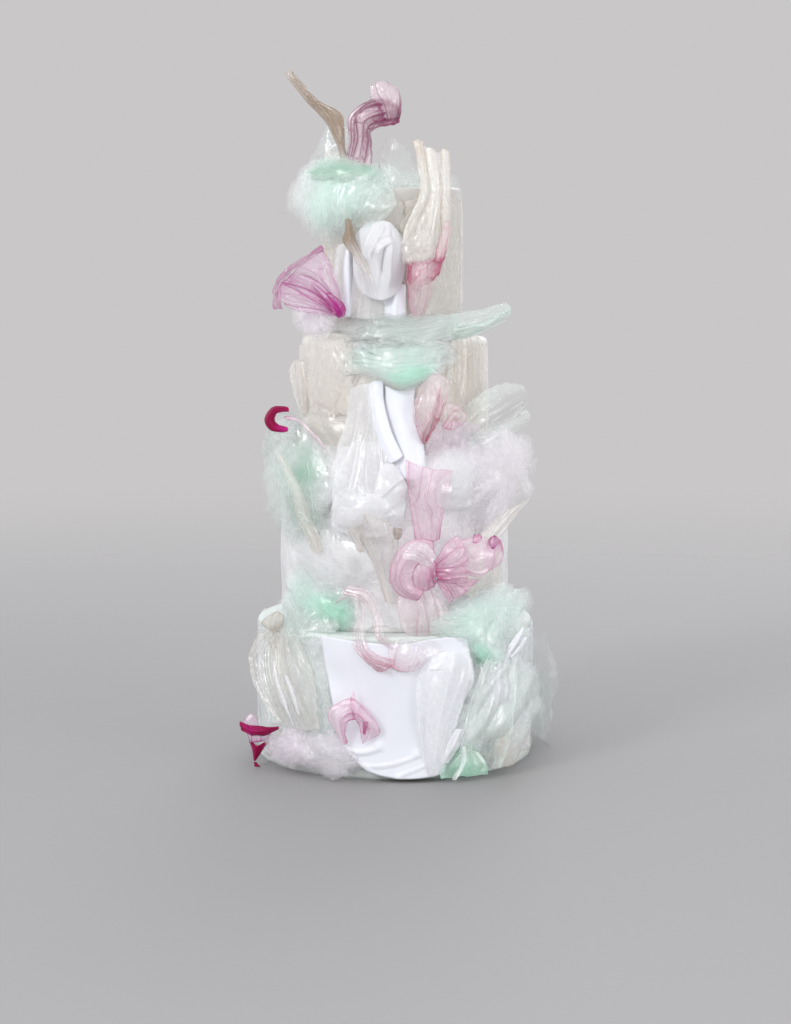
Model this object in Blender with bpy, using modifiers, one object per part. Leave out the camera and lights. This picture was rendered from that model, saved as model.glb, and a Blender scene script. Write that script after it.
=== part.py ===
"""Four-tier wedding cake dressed in wafer-paper sails, white fondant and crumpled sugar film.

Lengths are in millimetres until a mesh is made. A place on the cake is written the way a
decorator would say it: (angle, up, out) on a tier, with the angle in degrees round the cake
from the front (positive to the right), up from the tier's foot and out from its wall.
The origin is the middle of the cake's foot, and the front looks along -Y.
"""
import math

import bmesh
import bpy
from mathutils import Vector, noise

MM = 0.001
GAP = 0.3

# The four tiers, from the bottom: nominal 11, 9, 7 and 5 inch cakes about 5 3/4 inches tall.
TIER_RADII = (142.0, 116.0, 95.0, 68.0)
TIER_HEIGHTS = (143.0, 145.0, 144.0, 152.0)
RIM_ROUNDING = 4.0
RIM_STEPS = 2
TURN_STEPS = 40

PAPER = 1.2
FONDANT = 2.8
PUFF_SIDES = 14
PUFF_RINGS = 8

# A sheet's slope is read over this share of its length, and it is never narrower than this.
SLOPE_STEP = 0.01
LEAST_WIDTH = 1.5
FLAT_ARC = 0.02

# Lumps and creases of a heap of film, a ball's radius being 1.
LUMP_DENSITY = 2.2
CREASE_DENSITY = 3.7
CREASE_SHARE = 0.7

TRIM_REACH = 240.0
TRIM_DEPTH = 40.0
MERGE_DISTANCE = 0.0001

# colour, roughness
MATERIALS = {
    "white_fondant": ((0.89, 0.89, 0.91), 0.55),
    "ivory_fondant": ((0.78, 0.74, 0.68), 0.6),
    "cream_wafer": ((0.80, 0.76, 0.68), 0.35),
    "taupe_wafer": ((0.48, 0.40, 0.30), 0.45),
    "mint_wafer": ((0.48, 0.78, 0.62), 0.35),
    "sage_wafer": ((0.56, 0.64, 0.55), 0.35),
    "blush_wafer": ((0.78, 0.58, 0.60), 0.35),
    "rose_wafer": ((0.66, 0.30, 0.42), 0.35),
    "magenta_wafer": ((0.50, 0.03, 0.20), 0.4),
    "orchid_wafer": ((0.56, 0.14, 0.42), 0.35),
    "lilac_tulle": ((0.70, 0.64, 0.74), 0.5),
    "clear_film": ((0.74, 0.78, 0.74), 0.2),
}


def clear_scene():
    for item in list(bpy.data.objects):
        bpy.data.objects.remove(item, do_unlink=True)


def make_materials():
    made = {}
    for name, (colour, roughness) in MATERIALS.items():
        material = bpy.data.materials.new(name)
        material.use_nodes = True
        shader = material.node_tree.nodes["Principled BSDF"]
        shader.inputs["Base Color"].default_value = (*colour, 1.0)
        shader.inputs["Roughness"].default_value = roughness
        shader.inputs["Metallic"].default_value = 0.0
        made[name] = material
    return made


def make_collection(name):
    collection = bpy.data.collections.new(name)
    bpy.context.scene.collection.children.link(collection)
    return collection


def tier_foot(tier):
    """Height of a tier's foot, for tiers 1 to 4."""
    return sum(TIER_HEIGHTS[: tier - 1])


def round_the_cake(angle, height, reach):
    """The point at an angle round the cake, a height and a distance from its axis."""
    turn = math.radians(angle)
    return Vector((reach * math.sin(turn), -reach * math.cos(turn), height))


def on_tier(tier, place):
    angle, up, out = place
    return round_the_cake(angle, tier_foot(tier) + up, TIER_RADII[tier - 1] + out)


def along(values, share):
    """Value at a share (0 to 1) of a smooth curve through evenly spaced values."""
    last = len(values) - 1
    step = min(int(share * last), last - 1)
    t = share * last - step
    a, b = values[step], values[step + 1]
    before = values[step - 1] if step else a * 2 - b
    after = values[step + 2] if step + 2 <= last else b * 2 - a
    return (
        a * 2
        + (b - before) * t
        + (before * 2 - a * 5 + b * 4 - after) * t**2
        + (a * 3 - before - b * 3 + after) * t**3
    ) * 0.5


def as_list(value):
    return [float(v) for v in value] if isinstance(value, (tuple, list)) else [float(value)] * 2


def add_object(name, mesh, material, collection):
    mesh.materials.append(material)
    item = bpy.data.objects.new(name, mesh)
    collection.objects.link(item)
    return item


def turned(name, profile, material, collection):
    """A turned solid from a profile of (reach, height) pairs, outer side from top to bottom."""
    mesh = bpy.data.meshes.new(name)
    outline = bmesh.new()
    points = [outline.verts.new((reach * MM, 0.0, height * MM)) for reach, height in profile]
    for first, second in zip(points, points[1:]):
        outline.edges.new((first, second))
    outline.to_mesh(mesh)
    outline.free()
    item = add_object(name, mesh, material, collection)
    screw = item.modifiers.new("turn", "SCREW")
    screw.axis = "Z"
    screw.angle = math.tau
    screw.steps = screw.render_steps = TURN_STEPS
    screw.use_merge_vertices = True
    screw.merge_threshold = MERGE_DISTANCE
    return item


def add_tier(tier, material, collection):
    """One covered cake with a rounded top edge, resting a hair above the tier below it."""
    radius = TIER_RADII[tier - 1]
    foot = tier_foot(tier) + (GAP if tier > 1 else 0.0)
    top = tier_foot(tier + 1)
    rim = []
    for step in range(RIM_STEPS + 1):
        bend = math.radians(90.0 * step / RIM_STEPS)
        rim.append(
            (
                radius - RIM_ROUNDING * (1 - math.sin(bend)),
                top - RIM_ROUNDING * (1 - math.cos(bend)),
            )
        )
    profile = [(0.0, top)] + rim + [(radius, foot), (0.0, foot)]
    return turned(f"tier_{tier}", profile, material, collection)


def add_trimmer(material, collection):
    """The room that the tiers and the table take, a gap larger: what dresses them is cut to it."""
    profile = [(0.0, tier_foot(5) + GAP)]
    for tier in (4, 3, 2, 1):
        reach = TIER_RADII[tier - 1] + GAP
        profile.append((reach, tier_foot(tier + 1) + GAP))
        profile.append((reach, tier_foot(tier) + GAP))
    profile.append((TRIM_REACH, GAP))
    profile.append((TRIM_REACH, -TRIM_DEPTH))
    profile.append((0.0, -TRIM_DEPTH))
    trimmer = turned("trimmer", profile, material, collection)
    trimmer.hide_render = True
    trimmer.display_type = "WIRE"
    return trimmer


def trim(item, trimmer):
    cut = item.modifiers.new("trim", "BOOLEAN")
    cut.operation = "DIFFERENCE"
    cut.solver = "EXACT"
    cut.object = trimmer


def facing(angle, tilt):
    turn, rise = math.radians(angle), math.radians(tilt)
    return Vector(
        (math.sin(turn) * math.cos(rise), -math.cos(turn) * math.cos(rise), math.sin(rise))
    )


def sail_frame(spine, share, face, tilt, edge):
    """Middle, sideways and outward direction of a sheet at a share of its length."""
    middle = along(spine, share)
    after = along(spine, min(share + SLOPE_STEP, 1.0))
    before = along(spine, max(share - SLOPE_STEP, 0.0))
    ahead = after - before
    ahead.normalize()
    if edge is not None:
        sideways = facing(edge, 0.0)
        sideways = (sideways - ahead * sideways.dot(ahead)).normalized()
    else:
        if face is None:
            looks = math.degrees(math.atan2(middle.x, -middle.y))
        else:
            looks = face
        sideways = ahead.cross(facing(looks, tilt)).normalized()
    return middle, sideways, sideways.cross(ahead)


def sail(
    name,
    tier,
    path,
    widths,
    face=None,
    tilt=0.0,
    edge=None,
    roll=0.0,
    pleats=0.0,
    depth=0.0,
    wave=0.0,
    notch=0.0,
    thickness=PAPER,
    rows=7,
    columns=4,
):
    """Design of one thin sheet.

    path is its middle line from root to tip, widths its width along it, roll the degrees of
    arc that it bends round its length (negative towards the viewer), pleats folds across it
    of the given depth, wave a slow wave along it, and notch the share of its length that a
    hollow takes out of the root's edge.
    """
    return dict(locals())


def shape_sail(plan):
    """A grid bent into the planned sheet, with its faces split so that both sides match."""
    spine = [on_tier(plan["tier"], place) for place in plan["path"]]
    widths, rolls = as_list(plan["widths"]), as_list(plan["roll"])
    depths = as_list(plan["depth"])
    sheet = bmesh.new()
    bmesh.ops.create_grid(
        sheet, x_segments=plan["columns"], y_segments=plan["rows"], size=1.0
    )
    for vertex in sheet.verts:
        across, share = vertex.co.x, (vertex.co.y + 1) / 2
        share += plan["notch"] * (1 - share) * (1 - across**2)
        middle, sideways, outward = sail_frame(
            spine, share, plan["face"], plan["tilt"], plan["edge"]
        )
        half = max(along(widths, share), LEAST_WIDTH) / 2
        arc = math.radians(along(rolls, share))
        if abs(arc) > FLAT_ARC:
            bend = across * arc / 2
            radius = 2 * half / abs(arc)
            aside = radius * math.sin(abs(bend)) * math.copysign(1, across)
            out = -math.copysign(radius, arc) * (1 - math.cos(bend))
        else:
            aside, out = half * across, 0.0
        out += along(depths, share) * math.sin(math.pi * plan["pleats"] * across)
        out += plan["wave"] * math.sin(math.tau * share)
        vertex.co = (middle + sideways * aside + outward * out) * MM
    bmesh.ops.triangulate(sheet, faces=sheet.faces[:])
    mesh = bpy.data.meshes.new(plan["name"])
    sheet.to_mesh(mesh)
    sheet.free()
    return mesh


def add_sail(plan, material, collection, trimmer):
    item = add_object(plan["name"], shape_sail(plan), material, collection)
    wall = item.modifiers.new("wall", "SOLIDIFY")
    wall.thickness = plan["thickness"] * MM
    wall.offset = 0.0
    if plan["name"] in TRIMMED_SAILS:
        trim(item, trimmer)
    return item


def puff(name, tier, place, span, lumps=0.16, seed=0.0):
    """Design of a crumpled heap of film that hugs the cake.

    place is its middle and span half its extent: degrees round the cake, up and out.
    """
    return dict(locals())


def add_puff(plan, material, collection, trimmer):
    angle, up, out = plan["place"]
    spread, rise, swell = plan["span"]
    ball = bmesh.new()
    bmesh.ops.create_uvsphere(
        ball, u_segments=PUFF_SIDES, v_segments=PUFF_RINGS, radius=1.0
    )
    for vertex in ball.verts:
        place = vertex.co + Vector((plan["seed"], 0, 0))
        crease = 0.5 - 2 * abs(noise.noise(place * CREASE_DENSITY))
        lump = noise.noise(place * LUMP_DENSITY)
        push = 1 + plan["lumps"] * (lump + CREASE_SHARE * crease)
        aside, outward, upward = vertex.co * push
        vertex.co = (
            on_tier(
                plan["tier"],
                (angle + spread * aside, up + rise * upward, out - swell * outward),
            )
            * MM
        )
    bmesh.ops.triangulate(ball, faces=ball.faces[:])
    mesh = bpy.data.meshes.new(plan["name"])
    ball.to_mesh(mesh)
    ball.free()
    item = add_object(plan["name"], mesh, material, collection)
    trim(item, trimmer)
    return item


# What dresses each tier, as (material, design), from the top down and from left to right.
TOP_TIER = (
    (
        "taupe_wafer",
        sail(
            "taupe_stick_top",
            4,
            (
                (-66, 153, -22),
                (-62, 180, -11),
                (-61, 201, -4),
                (-64, 228, 9),
                (-69, 253, 31),
                (-70, 266, 43),
            ),
            (9, 8, 6, 17, 6, 12),
            face=-10,
            roll=150,
            rows=10,
        ),
    ),
    (
        "rose_wafer",
        sail(
            "rose_petal_top",
            4,
            (
                (-40, 153, -16),
                (-39, 177, -14),
                (-32, 201, -11),
                (-18, 222, -12),
                (3, 231, -14),
                (-3, 248, -16),
                (-26, 254, -18),
            ),
            (16, 19, 26, 20, 14, 17, 12),
            face=0,
            roll=70,
            rows=12,
        ),
    ),
    (
        "clear_film",
        sail(
            "clear_film_top",
            4,
            ((-4, 153, -62), (-4, 178, -64), (10, 202, -62)),
            (36, 46, 38),
            face=8,
            pleats=2,
            depth=3,
        ),
    ),
    (
        "cream_wafer",
        sail(
            "cream_sail_top",
            4,
            ((23, 78, 4), (22, 110, 13), (24, 150, 15), (27, 197, 11)),
            (30, 42, 34, 34),
            roll=50,
            pleats=2,
            depth=3,
            columns=7,
        ),
    ),
    (
        "blush_wafer",
        sail(
            "pink_tube_top",
            4,
            ((16, 1.5, 14), (16, 26, 18), (16, 52, 27), (17, 80, 32)),
            (15, 20, 28, 38),
            roll=200,
            columns=6,
        ),
    ),
    (
        "orchid_wafer",
        sail(
            "orchid_fan",
            4,
            ((-37, 1.5, 14), (-39, 26, 18), (-45, 50, 37), (-51, 74, 57)),
            (5, 7, 44, 72),
            face=-20,
            pleats=3,
            depth=(0, 1, 3, 4),
            columns=8,
            rows=7,
        ),
    ),
    (
        "taupe_wafer",
        sail(
            "taupe_stick_front",
            4,
            (
                (-5, 1.5, 18),
                (-8, 35, 25),
                (-11, 58, 29),
                (-19, 81, 31),
                (-26, 104, 30),
                (-27, 120, 27),
            ),
            (28, 21, 12, 8, 12, 5),
            roll=130,
        ),
    ),
    (
        "white_fondant",
        puff("white_rose", 4, (-15, 82, 11), (22, 33, 14), seed=4.0, lumps=0.12),
    ),
    (
        "white_fondant",
        sail(
            "white_curtain_top",
            4,
            ((-18, 1.5, 5), (-18, 24, 5.5), (-18, 47, 5)),
            (66, 62, 58),
            roll=(50, 47, 44),
            pleats=4,
            depth=(2.2, 1.8, 0.8),
            thickness=1.8,
            rows=4,
            columns=12,
        ),
    ),
    (
        "mint_wafer",
        puff("mint_puff_top", 4, (-66, 136, 18), (25, 44, 25), seed=1.0, lumps=0.2),
    ),
    (
        "mint_wafer",
        sail(
            "mint_film_front",
            4,
            ((-17, 117, 5), (-17, 148, 7), (-19, 177, 4)),
            (50, 60, 52),
            roll=45,
            pleats=2,
            depth=1.5,
            rows=5,
            columns=7,
        ),
    ),
    (
        "sage_wafer",
        sail(
            "sage_shelf_leaf",
            4,
            ((-30, 5, 31), (5, 9, 32), (40, 20, 40), (68, 29, 58)),
            (14, 22, 26, 18),
            face=14,
            tilt=35,
            wave=2,
        ),
    ),
    (
        "lilac_tulle",
        puff("lilac_tulle_left", 4, (-62, 20, 24), (17, 20, 20), seed=7.0, lumps=0.22),
    ),
)

THIRD_TIER = (
    (
        "mint_wafer",
        puff("mint_puff_middle", 3, (2, 119, 10), (33, 25, 12), seed=2.0),
    ),
    (
        "cream_wafer",
        sail(
            "cream_panel_left",
            3,
            ((-72, 68, 3.5), (-72, 104, 4), (-72, 141, 3)),
            (122, 126, 120),
            roll=73,
            pleats=3,
            depth=0.9,
            rows=4,
            columns=10,
        ),
    ),
    (
        "cream_wafer",
        sail(
            "cream_panel_far_left",
            3,
            ((-79, 60, 8), (-78, 88, 13), (-77, 118, 11)),
            (20, 26, 22),
            face=-58,
            pleats=1,
            depth=1.5,
            rows=5,
        ),
    ),
    (
        "cream_wafer",
        sail(
            "cream_panel_right",
            3,
            ((57, 62, 4), (57, 100, 5), (57, 146, 4)),
            (58, 64, 58),
            roll=36,
            pleats=3,
            depth=1.6,
            rows=4,
            columns=10,
        ),
    ),
    (
        "white_fondant",
        sail(
            "white_drape_middle",
            3,
            ((-9, 90, 5), (-9, 58, 8), (-8, 30, 12), (-7, 14, 16)),
            (42, 62, 84, 96),
            roll=(23, 32, 43, 48),
            pleats=3,
            depth=(1, 2, 3, 3.5),
            thickness=FONDANT,
            columns=11,
        ),
    ),
    (
        "blush_wafer",
        sail(
            "pink_paper_middle",
            3,
            ((15, 45, 19), (18, 78, 26), (21, 112, 32)),
            (8, 38, 32),
            roll=110,
            columns=5,
        ),
    ),
    (
        "magenta_wafer",
        sail(
            "magenta_curl_left",
            3,
            (
                (-43, 35, 10),
                (-47, 63, 28),
                (-50, 72, 41),
                (-51, 77, 48),
                (-53, 76, 59),
                (-54, 66, 65),
                (-53, 57, 60),
                (-49, 58, 46),
            ),
            (3, 3, 4, 8, 13, 14, 14, 10),
            edge=-30,
            rows=16,
            columns=2,
        ),
    ),
    (
        "sage_wafer",
        sail(
            "sheer_leaf_right",
            3,
            ((36, 88, 9), (46, 84, 30), (59, 88, 60)),
            (12, 58, 28),
            face=5,
            pleats=1,
            depth=3,
            columns=5,
        ),
    ),
    (
        "lilac_tulle",
        sail(
            "lilac_net_right",
            3,
            ((34, 2, 9), (34, 26, 10), (34, 49, 8)),
            (46, 50, 40),
            roll=27,
            pleats=2,
            depth=1.2,
            rows=5,
            columns=7,
        ),
    ),
)

SECOND_TIER = (
    (
        "sage_wafer",
        puff("sage_film_left", 2, (-52, 136, 12), (21, 64, 13), seed=3.0),
    ),
    (
        "cream_wafer",
        sail(
            "cream_spike_left",
            2,
            ((-31, 71, 5), (-34, 90, 20), (-37, 110, 31), (-41, 148, 38), (-48, 182, 42)),
            (8, 15, 18, 8, 3),
            face=-25,
            roll=110,
        ),
    ),
    (
        "white_fondant",
        puff("white_folds_middle", 2, (-12, 131, 9), (15, 26, 12), seed=5.0),
    ),
    (
        "rose_wafer",
        sail(
            "pink_vase",
            2,
            ((14, 72, 7), (14, 100, 14), (14, 136, 18), (15, 173, 18)),
            (20, 27, 33, 42),
            roll=110,
            columns=6,
        ),
    ),
    (
        "rose_wafer",
        sail(
            "rosette_loop",
            2,
            ((15, 46, 18), (3, 47, 18), (-1, 74, 19), (4, 95, 25), (13, 88, 29)),
            (22, 27, 26, 14, 10),
            edge=8,
            rows=12,
            columns=2,
        ),
    ),
    (
        "rose_wafer",
        sail(
            "rosette_petal",
            2,
            ((19, 56, 8), (22, 76, 28), (27, 96, 40)),
            (12, 44, 34),
            face=24,
            roll=-60,
            rows=7,
            columns=5,
        ),
    ),
    (
        "rose_wafer",
        sail(
            "rosette_cup",
            2,
            ((29, 32, 6), (35, 54, 17), (43, 84, 27)),
            (12, 44, 46),
            face=34,
            roll=-70,
            rows=7,
            columns=5,
        ),
    ),
    (
        "taupe_wafer",
        sail(
            "taupe_funnel",
            2,
            ((-5, 2, 8), (-7, 34, 11), (-10, 72, 15), (-12, 106, 20)),
            (12, 15, 28, 50),
            roll=(60, 90, 100, 100),
            columns=5,
        ),
    ),
    (
        "clear_film",
        puff("sheer_puff_right", 2, (54, 134, 20), (26, 38, 22), seed=6.0),
    ),
    (
        "mint_wafer",
        puff("mint_ruffle_left", 2, (-38, 32, 17), (21, 35, 18), seed=8.0),
    ),
    (
        "mint_wafer",
        puff("mint_film_right", 2, (55, -6, 24), (23, 38, 23), seed=9.0),
    ),
    (
        "cream_wafer",
        sail(
            "cream_panel_low_right",
            2,
            ((70, 34, 3), (70, 52, 3.5), (70, 69, 3)),
            (126, 132, 122),
            roll=63,
            pleats=3,
            depth=1,
            rows=3,
            columns=10,
        ),
    ),
    (
        "blush_wafer",
        sail(
            "blush_sheet_middle",
            2,
            ((12, 4, 8), (13, 21, 10), (12, 38, 9)),
            (40, 42, 36),
            roll=18,
            pleats=2,
            depth=1,
            rows=4,
            columns=6,
        ),
    ),
)

BOTTOM_TIER = (
    (
        "blush_wafer",
        sail(
            "pink_swirl",
            1,
            ((-25, 176, 15), (-18, 165, 13), (-13, 145, 13), (-6, 125, 14), (3, 119, 14)),
            (14, 20, 24, 26, 14),
            face=-8,
            pleats=2,
            depth=2,
            columns=6,
        ),
    ),
    (
        "blush_wafer",
        sail(
            "blush_fold",
            1,
            ((6, 122, 17), (13, 128, 21), (20, 130, 20)),
            (12, 24, 12),
            pleats=1,
            depth=2,
            rows=6,
        ),
    ),
    (
        "white_fondant",
        sail(
            "white_panel_front",
            1,
            ((0, 4.5, 8), (0, 30, 5.5), (0, 75, 4), (1, 120, 4), (1, 145, 3.5)),
            (102, 108, 126, 146, 148),
            roll=(40, 42, 49, 57, 58),
            pleats=3,
            depth=(3, 1, 0.4, 0.3, 0.3),
            thickness=FONDANT,
            columns=11,
        ),
    ),
    (
        "cream_wafer",
        sail(
            "cream_drape_right",
            1,
            ((16, 5, 17), (19, 66, 15), (21, 134, 13)),
            (18, 52, 50),
            roll=(7, 19, 19),
            pleats=2,
            depth=1.5,
            columns=7,
        ),
    ),
    (
        "clear_film",
        puff("cellophane_right", 1, (47, 50, 14), (20, 50, 16), seed=10.0),
    ),
    (
        "clear_film",
        sail(
            "cellophane_fold",
            1,
            ((17, 4, 24), (29, 58, 33), (38, 102, 34), (47, 148, 33)),
            (12, 32, 30, 12),
            roll=60,
        ),
    ),
    (
        "cream_wafer",
        sail(
            "cream_sheet_left",
            1,
            ((-44, 50, 13), (-49, 84, 24), (-51, 116, 19), (-49, 137, 10)),
            (36, 52, 44, 22),
            roll=45,
            pleats=3,
            depth=1.8,
            columns=8,
        ),
    ),
    (
        "taupe_wafer",
        sail(
            "taupe_tip_left",
            1,
            ((-66, 144.5, -6), (-65, 156, 1), (-64, 171, 8)),
            (12, 26, 14),
            face=-35,
            pleats=1,
            depth=1.5,
            rows=5,
        ),
    ),
    (
        "mint_wafer",
        sail(
            "mint_sheet_left",
            1,
            ((-66, 56, 4), (-66, 96, 5), (-66, 134, 4)),
            (176, 182, 176),
            roll=70,
            pleats=3,
            depth=1,
            rows=3,
            columns=11,
        ),
    ),
    (
        "rose_wafer",
        sail(
            "rose_scrap",
            1,
            ((-14, 42, 12), (-14, 60, 15), (-14, 82, 11)),
            (44, 50, 18),
            roll=-40,
            notch=0.4,
            rows=6,
            columns=6,
        ),
    ),
    (
        "magenta_wafer",
        sail(
            "magenta_scrap_board",
            1,
            ((-62, 2.5, 14), (-62, 24, 16), (-62, 51, 16)),
            (4, 20, 38),
            face=-28,
            roll=50,
        ),
    ),
    (
        "lilac_tulle",
        puff("lilac_puff_left", 1, (-47, 21, 15), (8.5, 21, 14), seed=11.0, lumps=0.22),
    ),
    (
        "lilac_tulle",
        puff("white_puff_left", 1, (-28.5, 24, 16), (8, 24, 14), seed=12.0, lumps=0.22),
    ),
)

BACK = (
    (
        "mint_wafer",
        puff("back_mint_film", 4, (172, 136, 15), (40, 44, 20), seed=13.0),
    ),
    (
        "cream_wafer",
        sail(
            "back_cream_sail",
            4,
            ((240, 62, 4), (240, 104, 14), (236, 150, 16), (232, 192, 12)),
            (34, 44, 36, 36),
            roll=50,
            pleats=2,
            depth=3,
            columns=7,
        ),
    ),
    (
        "white_fondant",
        sail(
            "back_white_drape",
            3,
            ((186, 138, 5), (186, 96, 7), (184, 50, 11), (183, 14, 15)),
            (56, 74, 92, 104),
            roll=(32, 41, 49, 53),
            pleats=3,
            depth=(1, 2, 3, 3.5),
            thickness=FONDANT,
            columns=11,
        ),
    ),
    (
        "rose_wafer",
        sail(
            "back_pink_petal",
            3,
            ((136, 2, 12), (136, 46, 20), (138, 92, 28), (140, 134, 24)),
            (14, 32, 46, 30),
            roll=100,
            columns=6,
        ),
    ),
    (
        "sage_wafer",
        puff("back_sage_puff", 3, (246, 20, 22), (35, 46, 22), seed=14.0),
    ),
    (
        "clear_film",
        puff("back_sheer_puff", 2, (156, 90, 15), (48, 52, 20), seed=15.0),
    ),
    (
        "white_fondant",
        sail(
            "back_white_panel",
            1,
            ((200, 4.5, 8), (200, 34, 5.5), (200, 90, 4), (200, 145, 3.5)),
            (108, 116, 132, 142),
            roll=(42, 45, 51, 55),
            pleats=3,
            depth=(3, 1, 0.4, 0.3),
            thickness=FONDANT,
            columns=11,
        ),
    ),
    (
        "mint_wafer",
        puff("back_mint_cellophane", 1, (120, 62, 15), (40, 62, 18), seed=16.0),
    ),
)

TRIMMED_SAILS = ("sage_shelf_leaf",)


def build():
    clear_scene()
    materials = make_materials()
    cake = make_collection("wedding_cake")
    cutters = make_collection("cutters")
    trimmer = add_trimmer(materials["ivory_fondant"], cutters)
    tier_finish = {1: "white_fondant", 2: "ivory_fondant", 3: "ivory_fondant", 4: "ivory_fondant"}
    for tier, finish in tier_finish.items():
        add_tier(tier, materials[finish], cake)
    for group in (TOP_TIER, THIRD_TIER, SECOND_TIER, BOTTOM_TIER, BACK):
        for finish, plan in group:
            add = add_sail if "path" in plan else add_puff
            add(plan, materials[finish], cake, trimmer)


build()
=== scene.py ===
# %% [markdown]
# # A four-tier wedding cake dressed in wafer paper
#
# The cake is four iced rounds on top of each other. What makes it is what a decorator sticks on:
# sheets of wafer paper softened until they drape and dry glossy, crushed heaps of clear sugar
# film, rose petals with dyed edges, and folded drapes of rolled white fondant.
# The solid model gives the frame: every piece below stands where its solid node stands.

# %% Load the frame and keep its box
import math

import bmesh
import bpy
import numpy as np
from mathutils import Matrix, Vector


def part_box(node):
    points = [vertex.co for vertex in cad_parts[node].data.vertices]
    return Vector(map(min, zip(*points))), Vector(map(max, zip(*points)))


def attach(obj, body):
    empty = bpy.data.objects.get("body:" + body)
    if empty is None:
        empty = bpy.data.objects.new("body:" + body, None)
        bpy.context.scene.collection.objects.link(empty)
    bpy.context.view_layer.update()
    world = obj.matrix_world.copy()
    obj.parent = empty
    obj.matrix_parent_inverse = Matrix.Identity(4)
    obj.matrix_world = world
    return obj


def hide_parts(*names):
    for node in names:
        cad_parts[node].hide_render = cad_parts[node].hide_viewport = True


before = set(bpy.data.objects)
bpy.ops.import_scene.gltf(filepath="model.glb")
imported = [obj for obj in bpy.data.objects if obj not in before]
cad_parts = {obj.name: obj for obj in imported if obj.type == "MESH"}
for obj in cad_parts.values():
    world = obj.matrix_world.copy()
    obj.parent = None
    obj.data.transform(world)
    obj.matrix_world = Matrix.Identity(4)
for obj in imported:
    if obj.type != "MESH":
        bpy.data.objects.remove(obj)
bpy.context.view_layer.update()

# %% [markdown]
# ## Camera, floor and light
#
# A tall cake is seen from a little above, from far enough that its sides stay nearly upright.
# The finished picture is 791 by 1024, so the lens is set from its height.
# White icing only reads as white against something a little darker, so the floor and the sky
# are a light warm grey, and one large soft lamp from the left front makes the whites.

# %% Camera
PICTURE_HEIGHT = 1024
SENSOR = 36.0
VIEW_DISTANCE = 2400.0
LOOK_DOWN = 7.06

camera_data = bpy.data.cameras.new("camera")
camera_data.sensor_fit = "VERTICAL"
camera_data.sensor_height = SENSOR
camera_data.lens = VIEW_DISTANCE / PICTURE_HEIGHT * SENSOR
camera = bpy.data.objects.new("camera", camera_data)
camera.location = (0.001, -2.476, 0.557)
camera.rotation_euler = (math.radians(90.0 - LOOK_DOWN), 0.0, 0.0)
bpy.context.scene.collection.objects.link(camera)
bpy.context.scene.camera = camera
bpy.context.scene.view_settings.view_transform = "Standard"
bpy.context.scene.cycles.transparent_max_bounces = 48
bpy.context.scene.cycles.diffuse_bounces = 8
print("lens", round(camera_data.lens, 2), "mm")


# %% Colours and nodes
def colour(code):
    """A colour written as sRGB hex, turned to linear with full alpha."""
    channels = [int(code[n : n + 2], 16) / 255 for n in (1, 3, 5)]
    return [c / 12.92 if c <= 0.04045 else ((c + 0.055) / 1.055) ** 2.4 for c in channels] + [1.0]


def add_node(tree, kind, settings=(), links=()):
    """Adds a node. Settings name a socket or a property; links pair a socket with its source."""
    node = tree.nodes.new(kind)
    for key, value in dict(settings).items():
        if isinstance(key, int) or key in node.inputs:
            node.inputs[key].default_value = value
        else:
            setattr(node, key, value)
    for socket, source in dict(links).items():
        tree.links.new(source, node.inputs[socket])
    return node


def new_material(name):
    material = bpy.data.materials.new(name)
    material.use_nodes = True
    material.node_tree.nodes.clear()
    return material, material.node_tree


# %% Floor that fades into the sky
SKY = "#C9C7C8"
FLOOR_REACH = 6.0

world = bpy.data.worlds.new("studio")
world.use_nodes = True
tree = world.node_tree
seen = tree.nodes["Background"]
seen.inputs["Color"].default_value = colour(SKY)
glowing = add_node(tree, "ShaderNodeBackground", {"Color": colour("#F3F5F9"), "Strength": 1.2})
rays = add_node(tree, "ShaderNodeLightPath")
sky = add_node(
    tree,
    "ShaderNodeMixShader",
    {},
    {0: rays.outputs["Is Camera Ray"], 1: glowing.outputs[0], 2: seen.outputs[0]},
)
tree.links.new(sky.outputs[0], tree.nodes["World Output"].inputs["Surface"])
bpy.context.scene.world = world

floor_paint, tree = new_material("painted_studio_floor")
place = add_node(tree, "ShaderNodeTexCoord").outputs["Object"]
reach = add_node(tree, "ShaderNodeVectorMath", {"operation": "LENGTH"}, {0: place})
fade = add_node(
    tree,
    "ShaderNodeMapRange",
    {"From Min": 0.35, "From Max": 2.6, "interpolation_type": "SMOOTHSTEP"},
    {"Value": reach.outputs["Value"]},
)
paint = add_node(
    tree, "ShaderNodeBsdfPrincipled", {"Base Color": colour("#918F8F"), "Roughness": 0.7}
)
clear = add_node(tree, "ShaderNodeBsdfTransparent")
mixed = add_node(
    tree,
    "ShaderNodeMixShader",
    {},
    {0: fade.outputs[0], 1: paint.outputs[0], 2: clear.outputs[0]},
)
add_node(tree, "ShaderNodeOutputMaterial", {}, {"Surface": mixed.outputs[0]})

disc = bmesh.new()
bmesh.ops.create_circle(disc, cap_ends=True, segments=96, radius=FLOOR_REACH)
floor_mesh = bpy.data.meshes.new("floor")
disc.to_mesh(floor_mesh)
disc.free()
floor_mesh.materials.append(floor_paint)
floor = bpy.data.objects.new("floor", floor_mesh)
bpy.context.scene.collection.objects.link(floor)
print("floor", FLOOR_REACH, "m")


# %% Lamps
def add_lamp(name, spot, size, watts, aim=(0.0, 0.0, 0.35)):
    data = bpy.data.lights.new(name, "AREA")
    data.size = size
    data.energy = watts
    lamp = bpy.data.objects.new(name, data)
    lamp.location = spot
    away = np.array(spot) - np.array(aim)
    flat = math.hypot(away[0], away[1])
    lamp.rotation_euler = (math.atan2(flat, away[2]), 0.0, math.atan2(away[0], -away[1]))
    bpy.context.scene.collection.objects.link(lamp)


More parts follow.
